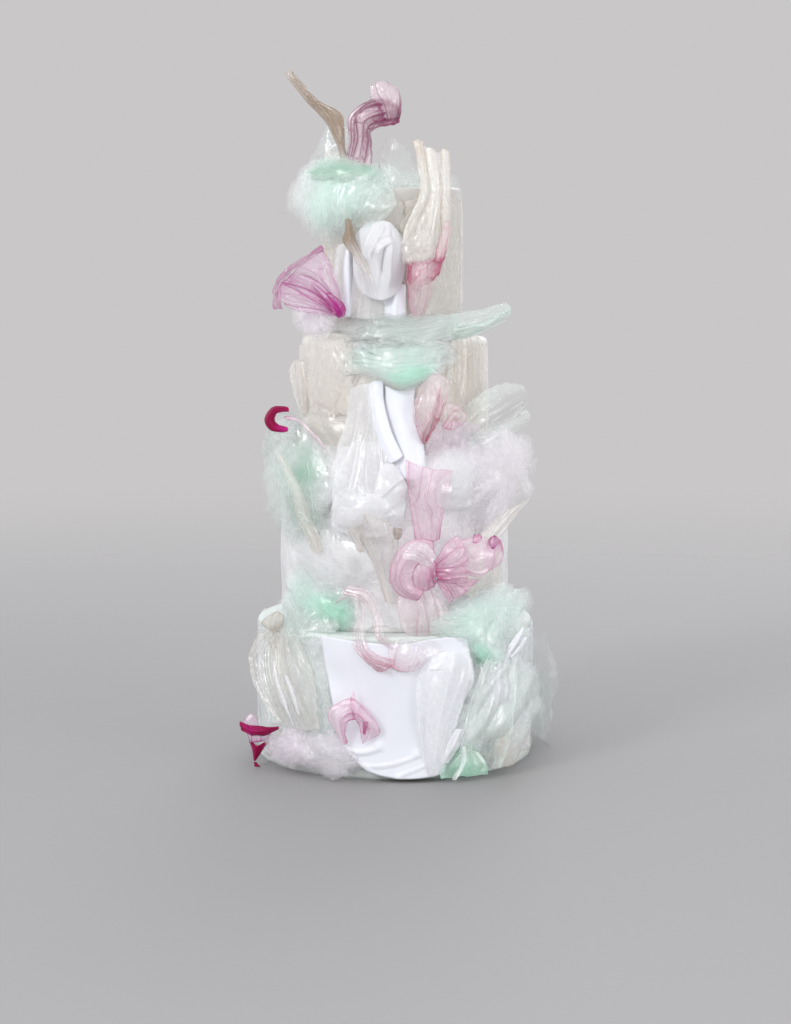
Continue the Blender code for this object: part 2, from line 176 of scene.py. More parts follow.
add_lamp("window", (-1.9, -2.3, 1.9), 0.8, 43.0)
add_lamp("bounce", (2.2, -1.9, 0.7), 1.0, 17.0, aim=(0.0, 0.0, 0.2))
add_lamp("back_light", (0.6, 2.4, 1.9), 1.2, 16.0)
print("three lamps")

# %% [markdown]
# ## Places on the cake
#
# A decorator speaks of a place as so far round the cake, so far up from a tier's foot, and so
# far out from its wall. The same three numbers place every piece here, so the script only needs
# the tiers' radii and heights, which it reads from the frame.

# %% Tiers and places
MM = 0.001
TIERS = (1, 2, 3, 4)

tier_radius, tier_foot, tier_top = {}, {}, {}
for tier in TIERS:
    low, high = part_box(f"tier_{tier}")
    tier_radius[tier] = (high[0] - low[0]) / 2 / MM
    tier_top[tier] = high[2] / MM
    tier_foot[tier] = tier_top[tier - 1] if tier > 1 else 0.0
print({tier: (round(tier_radius[tier]), round(tier_foot[tier])) for tier in TIERS})


def on_tier(tier, angle, up, out):
    """Points from angles round the cake (degrees), heights and distances (mm) on a tier."""
    turn = np.radians(angle)
    reach = tier_radius[tier] + out
    height = tier_foot[tier] + up + 0 * turn
    return np.stack([reach * np.sin(turn), -reach * np.cos(turn), height], -1)


def curve_weights(count, share):
    """How much each of some evenly spaced points counts at shares of a smooth curve."""
    last = count - 1
    step = np.clip((share * last).astype(int), 0, last - 1)
    t = share * last - step
    weights = np.zeros((len(share), count + 2))
    index = np.arange(len(share))
    weights[index, step] = -0.5 * t + t**2 - 0.5 * t**3
    weights[index, step + 1] = 1 - 2.5 * t**2 + 1.5 * t**3
    weights[index, step + 2] = 0.5 * t + 2 * t**2 - 1.5 * t**3
    weights[index, step + 3] = -0.5 * t**2 + 0.5 * t**3
    weights[:, 1] += 2 * weights[:, 0]
    weights[:, 2] -= weights[:, 0]
    weights[:, -2] += 2 * weights[:, -1]
    weights[:, -3] -= weights[:, -1]
    return weights[:, 1:-1]


def smooth_through(values, share):
    """A smooth curve through evenly spaced values, read at shares from 0 to 1."""
    values = np.atleast_1d(np.array(values, float))
    if len(values) == 1:
        values = np.repeat(values, 2, axis=0)
    return curve_weights(len(values), share) @ values


# %% [markdown]
# ## How crushed paper looks
#
# Crushed wafer paper is neither wavy nor bumpy: it is a patchwork of nearly flat facets that
# meet in sharp creases, large ones with smaller ones inside. A cell pattern gives that, if the
# height is measured from the nearest border between two cells, some cells standing proud and
# others sunk. Three sizes of it on top of each other are enough for the eye.


# %% Ripples and facets
def chance(column, row, seed):
    """A fixed random number from 0 to 1 for each square of a grid."""
    number = np.sin(column * 127.1 + row * 311.7 + seed * 74.7) * 43758.5453
    return number - np.floor(number)


def ripples(across, along, size, seed):
    """Soft random swell from -1 to 1, in bumps of a size."""
    x, y = across / size, along / size
    column, row = np.floor(x), np.floor(y)
    fx, fy = x - column, y - row
    fx, fy = fx * fx * (3 - 2 * fx), fy * fy * (3 - 2 * fy)
    low = chance(column, row, seed) * (1 - fx) + chance(column + 1, row, seed) * fx
    high = chance(column, row + 1, seed) * (1 - fx) + chance(column + 1, row + 1, seed) * fx
    return (low * (1 - fy) + high * fy) * 2 - 1


def facets(across, along, size, seed):
    """Heights of a crushed sheet, 0 along the creases, and the creases themselves (0 to 1)."""
    x, y = across / size, along / size
    column, row = np.floor(x), np.floor(y)
    nearest = np.full(x.shape, 9.0)
    second = np.full(x.shape, 9.0)
    side = np.zeros(x.shape)
    for right in (-1, 0, 1):
        for above in (-1, 0, 1):
            c, r = column + right, row + above
            away = np.hypot(c + chance(c, r, seed) - x, r + chance(c, r, seed + 5) - y)
            closer = away < nearest
            second = np.where(closer, nearest, np.minimum(second, away))
            side = np.where(closer, chance(c, r, seed + 9) * 2 - 1, side)
            nearest = np.minimum(nearest, away)
    rise = second - nearest
    return rise * np.sign(side) * (0.5 + 0.5 * np.abs(side)), np.clip(1 - rise / 0.09, 0, 1)


CRUSH_SIZES = (30.0, 13.0, 6.0)
FACET_SHARES = (1.0, 0.7, 0.35)


def crushed(across, along, seed, sizes=CRUSH_SIZES):
    """Heights in mm of a sheet crushed as hard as it goes, and how creased each point is."""
    height, crease = 0.0, 0.0
    for step, size in enumerate(sizes):
        drift = size * 0.45
        x = across + drift * ripples(across, along, size * 1.4, seed + step + 0.3)
        y = along + drift * ripples(across, along, size * 1.4, seed + step + 0.6)
        rise, line = facets(x, y, size, seed + step)
        height = height + rise * size * FACET_SHARES[step]
        crease = np.maximum(crease, line * FACET_SHARES[step])
    return height, crease


# %% [markdown]
# ## One sheet of paper
#
# A sheet starts as a flat grid. It is laid along a middle line, given its width at each point,
# rolled round its length, pleated, and then crushed. Its edges fray a little, because wet wafer
# paper tears rather than cuts. A real sheet is a third of a millimetre thick, so the grid gets
# its thickness from Solidify at the end.
#
# Four numbers ride on every point for the paints to read: how much dye the paper took, how
# close the point is to the edge, how creased it is, and how thin it was stretched.

# %% Sheets
PAPER = 0.35
ICING = 2.2
GRAIN = 1.7
TIER_CLEARANCE = 0.5
FLOOR_CLEARANCE = 0.4
RIM_WIDTH = 1.3
PER_UV = 100.0
SEEDS = 97

# A sheet's slope is read over this share of its length. No sheet is narrower than the least
# width, and the flattest one still bends by this many radians, so that its arc has a radius.
SLOPE_STEP = 0.01
LEAST_WIDTH = 1.5
FLAT_ARC = 0.02

# Where a sheet narrows to a tip it has less paper to crush, down to this share.
LEAST_CRUSH = 0.1


def facing(angle):
    """Level directions straight out of the cake at angles round it."""
    turn = np.radians(angle)
    return np.stack([np.sin(turn), -np.cos(turn), 0 * turn], -1)


def own_seed(name):
    """The random seed of a sheet, which follows from its name and so never changes."""
    return sum(map(ord, name)) % SEEDS


def grid_mesh(name, columns, rows, layers=1):
    """One or more flat grids from -1 to 1 in a mesh, with a UV map from 0 to 1 on each."""
    sheet = bmesh.new()
    sheet.loops.layers.uv.new("UVMap")
    for _ in range(layers):
        bmesh.ops.create_grid(
            sheet, x_segments=columns, y_segments=rows, size=1.0, calc_uvs=True
        )
    mesh = bpy.data.meshes.new(name)
    sheet.to_mesh(mesh)
    sheet.free()
    flat = np.empty(len(mesh.vertices) * 3)
    mesh.vertices.foreach_get("co", flat)
    return mesh, flat.reshape(-1, 3)[:, :2]


def stretch_uv(mesh, width, length):
    """Sets the UV map to the sheet's real size, one unit to 100 mm."""
    uv = np.empty(len(mesh.loops) * 2)
    layer = mesh.uv_layers["UVMap"].data
    layer.foreach_get("uv", uv)
    uv = uv.reshape(-1, 2) * (width / PER_UV, length / PER_UV)
    layer.foreach_set("uv", uv.ravel())


def paint_points(mesh, **values):
    """Writes named values on a mesh's points, for the paints to read."""
    for name, value in values.items():
        layer = mesh.attributes.new(name, "FLOAT", "POINT")
        layer.data.foreach_set("value", np.broadcast_to(value, len(mesh.vertices)).astype("f"))


def clear_of_cake(points):
    """Keeps points outside the tiers and above the floor."""
    reach = np.hypot(points[:, 0], points[:, 1])
    for tier in TIERS:
        radius = tier_radius[tier] + TIER_CLEARANCE
        inside = (reach < radius) & (points[:, 2] < tier_top[tier] + TIER_CLEARANCE)
        inside &= points[:, 2] > tier_foot[tier] - TIER_CLEARANCE
        over = tier_top[tier] + TIER_CLEARANCE - points[:, 2]
        lift = inside & (over < radius - reach)
        points[lift, 2] = tier_top[tier] + TIER_CLEARANCE
        push = inside & ~lift
        points[push, :2] *= (radius / reach[push])[:, None]
        reach = np.hypot(points[:, 0], points[:, 1])
    points[:, 2] = np.maximum(points[:, 2], FLOOR_CLEARANCE)
    return points


def set_points(mesh, points):
    mesh.vertices.foreach_set("co", (clear_of_cake(points) * MM).ravel())
    mesh.polygons.foreach_set("use_smooth", [True] * len(mesh.polygons))
    mesh.update()


def unit(vectors):
    return vectors / (np.linalg.norm(vectors, axis=-1, keepdims=True) + 1e-9)


def grid_directions(points, columns, rows):
    """Directions across, along and out of a surface given as rows of points."""
    grid = points.reshape(-1, rows + 1, columns + 1, 3)
    side, along = unit(np.gradient(grid, axis=2)), unit(np.gradient(grid, axis=1))
    out = unit(np.cross(side, along))
    return [way.reshape(-1, 3) for way in (side, along, out)]


def press_folds(folds, across, share, broad, length, seed):
    """Height of hand-pressed folds and how creased they leave the paper. A fold runs from
    (across, share) to (across, share), and has a height and a width in mm."""
    height, crease = 0.0, 0.0
    for number, (start, begin, stop, end, high, wide) in enumerate(folds):
        run = np.clip((share - begin) / (end - begin), 0, 1)
        middle = start + (stop - start) * run
        middle = middle + 5.0 / broad * ripples(share * length, 0 * share, 24.0, seed + 11 + number)
        away = (across - middle) * broad / 2 / wide
        past = np.maximum(np.maximum(begin - share, share - end), 0) * length / 6
        line = np.exp(-(away**2) - past**2)
        height = height + high * line
        crease = np.maximum(crease, line)
    return height, crease


def nicks(along, side, seed):
    """How deep an edge is torn: small notches and a few sharp ones."""
    sharp = np.clip(np.abs(ripples(along, side, 11.0, seed)) - 0.45, 0, 1) * 2.5
    return sharp + 0.4 * ripples(along, side, 4.5, seed + 20)


def shape_paper(
    name, surface, broad, length, crush=0.10, sizes=CRUSH_SIZES, long_folds=1.5, fray=2.0,
    ruffle=2.0, corner=0.12, dye=0.5, dye_across=1.0, soft=0.0, folds=(), pleats=0.0, depth=0.0,
    thin=0.0, grain=GRAIN,
):
    """A mesh of one sheet. surface gives points from (across, share). crush is how hard it is
    crushed, long_folds how much longer than wide its facets are, fray and ruffle how uneven its
    edge is in mm, in the sheet and out of it, corner how rounded its corners are, dye the dye
    along it from root to tip, soft the height in mm of slow swells instead of creases, and thin
    how clear the sheet gets where it is stretched. grain is the size of its faces in mm."""
    seed = own_seed(name)
    columns = int(np.clip(broad / grain, 8, 120))
    rows = int(np.clip(length / grain, 8, 130))
    mesh, flat = grid_mesh(name, columns, rows)
    stretch_uv(mesh, broad, length)
    across, share = flat[:, 0], (flat[:, 1] + 1) / 2
    sides, ends = np.abs(across), np.abs(share - 0.5) * 2

    base = surface(across * (1 - corner * ends**5), 0.5 + (share - 0.5) * (1 - corner * sides**5))
    side_way, along_way, out_way = grid_directions(base, columns, rows)
    steps = np.diff(base.reshape(-1, rows + 1, columns + 1, 3), axis=2)
    wide = np.linalg.norm(steps, axis=-1).sum(axis=2) / broad
    narrow = np.repeat(np.clip(wide, LEAST_CRUSH, 1.0).ravel(), columns + 1)
    mm_across, mm_along = across * broad / 2, share * length
    edge_across, edge_along = np.sign(across) * 40, np.sign(share - 0.5) * 40
    worn = ripples(mm_along, edge_across, 18.0, seed + 2) - nicks(mm_along, edge_across, seed + 3)
    torn = ripples(mm_across, edge_along, 16.0, seed) - nicks(mm_across, edge_along, seed + 1)
    flutter = ripples(mm_along, edge_across, 22.0, seed + 8) * sides**2
    flutter += ripples(mm_across, edge_along, 20.0, seed + 9) * ends**3

    sway = 0.12 * ripples(mm_along, mm_along * 0, 30.0, seed + 4)
    pleat = np.sin(math.pi * pleats * (across + sway))
    rise, crease = crushed(mm_across, mm_along / long_folds, seed, sizes)
    swell = soft * (
        ripples(mm_across, mm_along / 2, 26.0, seed + 6)
        + 0.4 * ripples(mm_across, mm_along / 2, 11.0, seed + 7)
    )
    pressed, press_line = press_folds(folds, across, share, broad, length, seed)
    lift = (rise * crush + swell + pressed + flutter * ruffle) * narrow
    lift = lift + smooth_through(depth, share) * pleat
    points = base + out_way * lift[:, None]
    points += side_way * (fray * narrow * worn * sides**2 * np.sign(across))[:, None]
    points += along_way * (fray * narrow * torn * ends**3 * np.sign(share - 0.5))[:, None]
    set_points(mesh, points)

    to_edge = np.minimum((1 - sides) * broad / 2, np.minimum(share, 1 - share) * length)
    pleat_line = np.clip(np.abs(pleat) * 1.15 - 0.15, 0, 1) ** 12 if pleats else 0.0
    crease = np.maximum(crease * min(1.0, crush * 5), np.maximum(pleat_line * 0.7, press_line))
    dyed_along = smooth_through(dye, share)
    dyed_across = smooth_through(dye_across, (across + 1) / 2)
    stretched = ripples(mm_across, mm_along / 2, 24.0, seed + 12)
    paint_points(
        mesh,
        dye=np.clip(dyed_along * dyed_across, 0, 1),
        rim=np.clip(1 - to_edge / RIM_WIDTH, 0, 1),
        crease=crease,
        thin=smooth_through(thin, share) * np.clip(0.5 + stretched, 0, 1),
    )
    return mesh


def lay_sheet(name, tier, path, widths, roll=0.0, **how):
    """A sheet along a middle line on a tier, with its width and roll at each point."""
    path = np.array(path, float)
    spine = on_tier(tier, path[:, 0], path[:, 1], path[:, 2])
    length = np.linalg.norm(np.diff(spine, axis=0), axis=1).sum()

    def surface(across, share):
        middle = smooth_through(spine, share)
        after = np.minimum(share + SLOPE_STEP, 1.0)
        before = np.maximum(np.minimum(share - SLOPE_STEP, 0.98), 0.0)
        ahead = unit(smooth_through(spine, after) - smooth_through(spine, before))
        looks = np.degrees(np.arctan2(middle[:, 0], -middle[:, 1]))
        sideways = unit(np.cross(ahead, facing(looks)))
        outward = np.cross(sideways, ahead)
        half = np.maximum(smooth_through(widths, share), LEAST_WIDTH) / 2
        arc = np.radians(smooth_through(roll, share))
        arc = np.where(np.abs(arc) < FLAT_ARC, FLAT_ARC, arc)
        bend = across * arc / 2
        radius = 2 * half / np.abs(arc)
        aside = radius * np.sin(np.abs(bend)) * np.sign(across)
        out = -np.sign(arc) * radius * (1 - np.cos(bend))
        return middle + sideways * aside[:, None] + outward * out[:, None]

    return shape_paper(name, surface, float(np.max(widths)), length, **how)


# %% [markdown]
# Petals and leaves have outlines that no middle line and width can give. They are laid on a
# net instead: a few rows of points, each point so far to the right, so high and so far forward
# of the middle of the cake's foot, with a smooth surface drawn through them.


# %% Sheets on a net
def net_surface(rows):
    """The smooth surface through rows of (right, up, forward) points, in mm."""
    net = np.array(rows, float)[..., [0, 2, 1]] * (1, -1, 1)

    def surface(across, share):
        along = curve_weights(len(net), share)
        sideways = curve_weights(net.shape[1], (across + 1) / 2)
        return np.einsum("pm,pk,mkd->pd", along, sideways, net)

    length = np.linalg.norm(np.diff(net.mean(axis=1), axis=0), axis=1).sum()
    broad = np.linalg.norm(np.diff(net, axis=1), axis=2).sum(axis=1).max()
    return surface, broad, length


def lay_net(name, *rows, paint=None, **how):
    mesh = shape_paper(name, *net_surface(rows), **how)
    if paint:
        mesh.materials.append(paints[paint])
    return mesh


# %% [markdown]
# ## A heap of crushed film
#
# The clouds of mint, grey-green and clear film are loose sheets crushed in the hand and pressed
# on. Where several layers lie over each other the colour is strong, and at the fringe a single
# layer is nearly clear. So a heap is built the same way: a few crushed layers, each with its own
# ragged outline, some whole and some only patches, spread through the room that the heap holds.

# %% Heaps
HEAP_STRETCH = 2.2
HEAP_LIMIT = 1.4
HEAP_FADE = 0.45
HEAP_CLEAREST = 0.85
HEAP_GRAIN = 2.1


def crush_heap(
    name, surface, broad, length, deep, layers=4, crush=0.20, sizes=(36.0, 17.0, 8.0),
    dyed=((0, 0, 1, 0.5),), grain=HEAP_GRAIN, ragged=0.3, patch=0.75, thin=0.0,
):
    """A mesh of crushed layers laid over a surface, deep mm apart in all. dyed lists where the
    dye is: across, up, reach and strength, across and up from -1 to 1. patch is the size of
    the smaller layers."""
    seed = own_seed(name)
    columns = int(np.clip(broad / grain, 12, 100))
    rows = int(np.clip(length / grain, 12, 100))
    mesh, flat = grid_mesh(name, columns, rows, layers)
    stretch_uv(mesh, broad, length)
    layer = np.repeat(np.arange(layers), len(flat) // layers)
    x, y = flat[:, 0], flat[:, 1]
    round_x, round_y = x * np.sqrt(1 - y**2 / 2), y * np.sqrt(1 - x**2 / 2)
    round_x, round_y = (x * 0.4 + round_x * 0.6), (y * 0.4 + round_y * 0.6)
    spin = layer * 2.1 + seed
    turned_x = round_x * np.cos(spin) - round_y * np.sin(spin)
    turned_y = round_x * np.sin(spin) + round_y * np.cos(spin)
    turn, radial = np.arctan2(turned_y, turned_x), np.hypot(turned_x, turned_y)
    around_x, around_y = np.cos(turn) * 1.3, np.sin(turn) * 1.3 + layer * 17.0
    outline = ripples(around_x, around_y, 0.8, seed) * 0.7
    outline += ripples(around_x, around_y, 0.35, seed + 1) * 0.5
    outline += ripples(around_x, around_y, 0.12, seed + 2) * 0.25
    reach = 1 + ragged * outline * np.minimum(radial * 1.3, 1)
    whole = layer % 2 == 0
    scale = np.where(whole, 1.1 - 0.04 * layer, patch * 1.1)
    shift_x = np.where(whole, 0, (1 - patch) * (chance(layer, 1.0, seed) * 2 - 1))
    shift_y = np.where(whole, 0, (1 - patch) * (chance(layer, 2.0, seed) * 2 - 1))
    aside = HEAP_LIMIT * np.tanh((turned_x * reach * scale + shift_x) / HEAP_LIMIT)
    upward = HEAP_LIMIT * np.tanh((turned_y * reach * scale + shift_y) / HEAP_LIMIT)

    base = surface(aside, (upward + 1) / 2)
    side_way, along_way, out_way = grid_directions(base, columns, rows)
    mm_x, mm_y = aside * broad / 2, upward * length / 2
    lean = layer * 1.9 + seed
    drawn = mm_x * np.cos(lean) + mm_y * np.sin(lean) + layer * 300
    pulled = mm_y * np.cos(lean) - mm_x * np.sin(lean)
    rise, crease = crushed(drawn, pulled / HEAP_STRETCH, seed, sizes)
    lift = (layer / max(layers - 1, 1) - 0.5) * deep * 0.8
    lift = lift + deep * (0.3 * (1 - radial**2) - 0.1)
    lift = lift + deep * 0.3 * ripples(around_x, around_y, 0.8, seed + 3) * radial**2
    points = base + out_way * (lift + rise * crush)[:, None]
    points += side_way * (ripples(drawn, pulled, 22.0, seed + 4) * 2.5)[:, None]
    points += along_way * (ripples(drawn, pulled, 18.0, seed + 5) * 2.0)[:, None]
    set_points(mesh, points)

    dye = 0.0
    for centre_x, centre_y, spot, strength in dyed:
        away = np.hypot(aside - centre_x, upward - centre_y) / spot
        dye = np.maximum(dye, strength * np.clip(1 - away**2, 0, 1))
    dye = dye * (0.8 + 0.45 * ripples(mm_x + layer * 90, mm_y, 16.0, seed + 8))
    inward = 1 - np.maximum(np.abs(x), np.abs(y))
    fade = np.clip(1 - inward / HEAP_FADE, 0, 1) ** 1.5
    worn = np.clip(0.9 * ripples(mm_x + layer * 50, mm_y, 28.0, seed + 9), 0, 1)
    paint_points(
        mesh,
        dye=np.clip(dye, 0, 1),
        rim=np.clip(1 - inward * min(broad, length) / 2 / RIM_WIDTH, 0, 1),
        crease=crease * 0.4,
        thin=np.maximum(HEAP_CLEAREST * np.maximum(fade, worn), thin),
    )
    return mesh


def heap_on_tier(name, tier, place, span, **how):
    """A heap round a place on a tier. span is half its size: degrees, mm up and mm out."""
    (angle, up, out), (spread, high, deep) = place, span
    wide = math.radians(spread) * (tier_radius[tier] + out)

    def surface(across, share):
        height = up + high * (share * 2 - 1)
        bulge = 0.3 * deep * (1 - across**2) * (1 - (share * 2 - 1) ** 2)
        return on_tier(tier, angle + spread * across, height, out + bulge)

    return crush_heap(name, surface, 2 * wide, 2 * high, 1.6 * deep, **how)


def heap_on_net(name, deep, *rows, paint=None, **how):
    mesh = crush_heap(name, *net_surface(rows), deep, **how)
    if paint:
        mesh.materials.append(paints[paint])
    return mesh


# %% [markdown]
# ## Paints
#
# Wafer paper is potato starch pressed thin: it lets light through, it is milky along its folds
# where it lies double, and once wetted it dries with a gloss. So its paint mixes a clear part,
# a glossy milky part and a part that glows with light from behind. The mix leans to milky where
# the sheet is creased, dyed or at its edge. Crinkles about 7 mm apart catch small lights. Thin
# ridges about 18 mm apart, where wet film has drawn together, are bumped and are also painted
# paler and more milky as painted highlights along them.


# %% Wafer paper
CRINKLE_MM = 7.0
WRINKLE_MM = 18.0
CLEAR_SHINE = 0.055


def wafer_paper(
    name, pale, deep, body, dyed_body, tint="#FEFEFE", gloss=0.8, glow=0.42, rough=0.34, lines=0.25,
    index=1.5, ridge_bump_and_painted_highlight_strength=0.16,
):
    """Sheer paper from a pale to a deep dyed colour. body is how milky the pale paper is, from
    0 to 1, and dyed_body how milky it is where it is dyed. lines is how much dye creases hold,
    and glow the share of light that comes through from behind. The last argument sets how strong
    the drawn ridges are, both as bump and as painted highlights that make them paler and more
    milky: strong on crushed film, faint on smooth paper."""
    material, tree = new_material(name)
    uv = add_node(tree, "ShaderNodeTexCoord").outputs["UV"]
    in_mm = add_node(tree, "ShaderNodeMapping", {"Scale": (PER_UV,) * 3}, {"Vector": uv})
    crinkle = add_node(
        tree,
        "ShaderNodeTexNoise",
        {"Scale": 1 / CRINKLE_MM, "Detail": 2.5, "Roughness": 0.5, "Distortion": 1.4},
        {"Vector": in_mm.outputs[0]},
    )
    drawn = add_node(
        tree, "ShaderNodeMapping", {"Scale": (1.0, 0.35, 1.0)}, {"Vector": in_mm.outputs[0]}
    )
    wrinkle = add_node(
        tree,
        "ShaderNodeTexNoise",
        {"Scale": 1 / WRINKLE_MM, "Detail": 1.0, "Roughness": 0.5, "Distortion": 1.0},
        {"Vector": drawn.outputs[0]},
    )
    centred = add_node(
        tree, "ShaderNodeMath", {"operation": "SUBTRACT", 1: 0.5}, {0: wrinkle.outputs["Fac"]}
    )
    size = add_node(tree, "ShaderNodeMath", {"operation": "ABSOLUTE"}, {0: centred.outputs[0]})
    ridge_bump_and_painted_highlight = add_node(
        tree,
        "ShaderNodeMapRange",
        {"From Max": 0.022, "To Min": 1.0, "To Max": 0.0, "interpolation_type": "SMOOTHSTEP"},
        {"Value": size.outputs[0]},
    )
    dye, rim, crease, thin = (
        add_node(tree, "ShaderNodeAttribute", {"attribute_name": value}).outputs["Fac"]
        for value in ("dye", "rim", "crease", "thin")
    )
    edges = add_node(
        tree,
        "ShaderNodeMath",
        {"operation": "MULTIPLY_ADD", 1: 0.8, "use_clamp": True},
        {0: rim, 2: crease},
    )
    more = add_node(
        tree,
        "ShaderNodeMath",
        {"operation": "MULTIPLY_ADD", 1: lines, "use_clamp": True},
        {0: edges.outputs[0], 2: dye},
    )
    # Painted highlights: along the drawn ridges the hue is pulled to the pale colour.
    hue_share_with_painted_highlight = add_node(
        tree,
        "ShaderNodeMath",
        {"operation": "MULTIPLY_ADD", 1: -2.0 * ridge_bump_and_painted_highlight_strength, "use_clamp": True},
        {0: ridge_bump_and_painted_highlight.outputs[0], 2: more.outputs[0]},
    )
    hue = add_node(
        tree,
        "ShaderNodeMix",
        {"data_type": "RGBA", 6: colour(pale), 7: colour(deep)},
        {0: hue_share_with_painted_highlight.outputs[0]},
    )
    body_now = add_node(
        tree, "ShaderNodeMapRange", {"To Min": body, "To Max": dyed_body}, {"Value": dye}
    )
    with_edges = add_node(
        tree,
        "ShaderNodeMath",
        {"operation": "MULTIPLY_ADD", 1: 0.16},
        {0: edges.outputs[0], 2: body_now.outputs[0]},
    )
    # Painted highlights: the drawn ridges also make the paper more milky.
    body_with_painted_highlight = add_node(
        tree,
        "ShaderNodeMath",
        {"operation": "MULTIPLY_ADD", 1: ridge_bump_and_painted_highlight_strength},
        {0: ridge_bump_and_painted_highlight.outputs[0], 2: with_edges.outputs[0]},
    )
    mottle = add_node(
        tree,
        "ShaderNodeMapRange",
        {"From Min": 0.35, "From Max": 0.68, "To Min": -0.03, "To Max": 0.07},
        {"Value": crinkle.outputs["Fac"]},
    )
    whole = add_node(
        tree,
        "ShaderNodeMath",
        {"operation": "ADD", "use_clamp": True},
        {0: body_with_painted_highlight.outputs[0], 1: mottle.outputs[0]},
    )
    inner = add_node(tree, "ShaderNodeNewGeometry").outputs["Backfacing"]
    outer = add_node(tree, "ShaderNodeMath", {"operation": "SUBTRACT", 0: 1.0}, {1: inner})
    seen = add_node(
        tree, "ShaderNodeMath", {"operation": "MULTIPLY"}, {0: whole.outputs[0], 1: outer.outputs[0]}
    )
    thick = add_node(tree, "ShaderNodeMath", {"operation": "SUBTRACT", 0: 1.0}, {1: thin})
    milky = add_node(
        tree, "ShaderNodeMath", {"operation": "MULTIPLY"}, {0: seen.outputs[0], 1: thick.outputs[0]}
    )
    relief = add_node(
        tree,
        "ShaderNodeMath",
        {"operation": "MULTIPLY_ADD", 1: 4.0 * ridge_bump_and_painted_highlight_strength},
        {0: ridge_bump_and_painted_highlight.outputs[0], 2: crinkle.outputs["Fac"]},
    )
    bump = add_node(
        tree,
        "ShaderNodeBump",
        {"Strength": 0.6, "Distance": 1.0 * MM},
        {"Height": relief.outputs[0]},
    )
    face = add_node(
        tree,
        "ShaderNodeBsdfPrincipled",
        {"Roughness": rough, "IOR": index, "Coat Weight": min(gloss, 1.0), "Coat Roughness": 0.12},
        {"Base Color": hue.outputs[2], "Normal": bump.outputs[0], "Coat Normal": bump.outputs[0]},
    )
    behind = add_node(
        tree,
        "ShaderNodeBsdfTranslucent",
        {},
        {"Color": hue.outputs[2], "Normal": bump.outputs[0]},
    )
    sheet = add_node(
        tree, "ShaderNodeMixShader", {0: glow}, {1: face.outputs[0], 2: behind.outputs[0]}
    )
    open_part = add_node(tree, "ShaderNodeBsdfTransparent", {"Color": colour(tint)})
    shine = add_node(
        tree, "ShaderNodeBsdfGlossy", {"Roughness": 0.13}, {"Normal": bump.outputs[0]}
    )
    clear = add_node(
        tree,
        "ShaderNodeMixShader",
        {0: CLEAR_SHINE * gloss},
        {1: open_part.outputs[0], 2: shine.outputs[0]},
    )
    mixed = add_node(
        tree,
        "ShaderNodeMixShader",
        {},
        {0: milky.outputs[0], 1: clear.outputs[0], 2: sheet.outputs[0]},
    )
    add_node(tree, "ShaderNodeOutputMaterial", {}, {"Surface": mixed.outputs[0]})
    return material


# %% [markdown]
# ## White icing
#
# Rolled fondant is sugar dough: matt to satin, very slightly glowing because light goes a
# millimetre into it, and smooth apart from a fine dusting of starch.


# %% Fondant
TONE_MM = 45.0


def fondant(name, tone, shade, grain_mm, depth_mm):
    """Sugar dough between two close tones. Its dusting has a grain and a depth in mm."""
    material, tree = new_material(name)
    place = add_node(tree, "ShaderNodeTexCoord").outputs["Object"]
    dust = add_node(
        tree,
        "ShaderNodeTexNoise",
        {"Scale": 1 / (grain_mm * MM), "Detail": 4.0, "Roughness": 0.6},
        {"Vector": place},
    )
    slow = add_node(
        tree, "ShaderNodeTexNoise", {"Scale": 1 / (TONE_MM * MM), "Detail": 2.0}, {"Vector": place}
    )
    hue = add_node(
        tree,
        "ShaderNodeMix",
        {"data_type": "RGBA", 6: colour(tone), 7: colour(shade)},
        {0: slow.outputs["Fac"]},
    )
    bump = add_node(
        tree,
        "ShaderNodeBump",
        {"Strength": 0.3, "Distance": depth_mm * MM},
        {"Height": dust.outputs["Fac"]},
    )
    icing = add_node(
        tree,
        "ShaderNodeBsdfPrincipled",
        {
            "Roughness": 0.5,
            "IOR": 1.45,
            "Subsurface Weight": 0.25,
            "Subsurface Scale": 1.5 * MM,
            "Subsurface Radius": (1.0, 0.85, 0.75),
        },
        {"Base Color": hue.outputs[2], "Normal": bump.outputs[0]},
    )
    add_node(tree, "ShaderNodeOutputMaterial", {}, {"Surface": icing.outputs[0]})
    return material


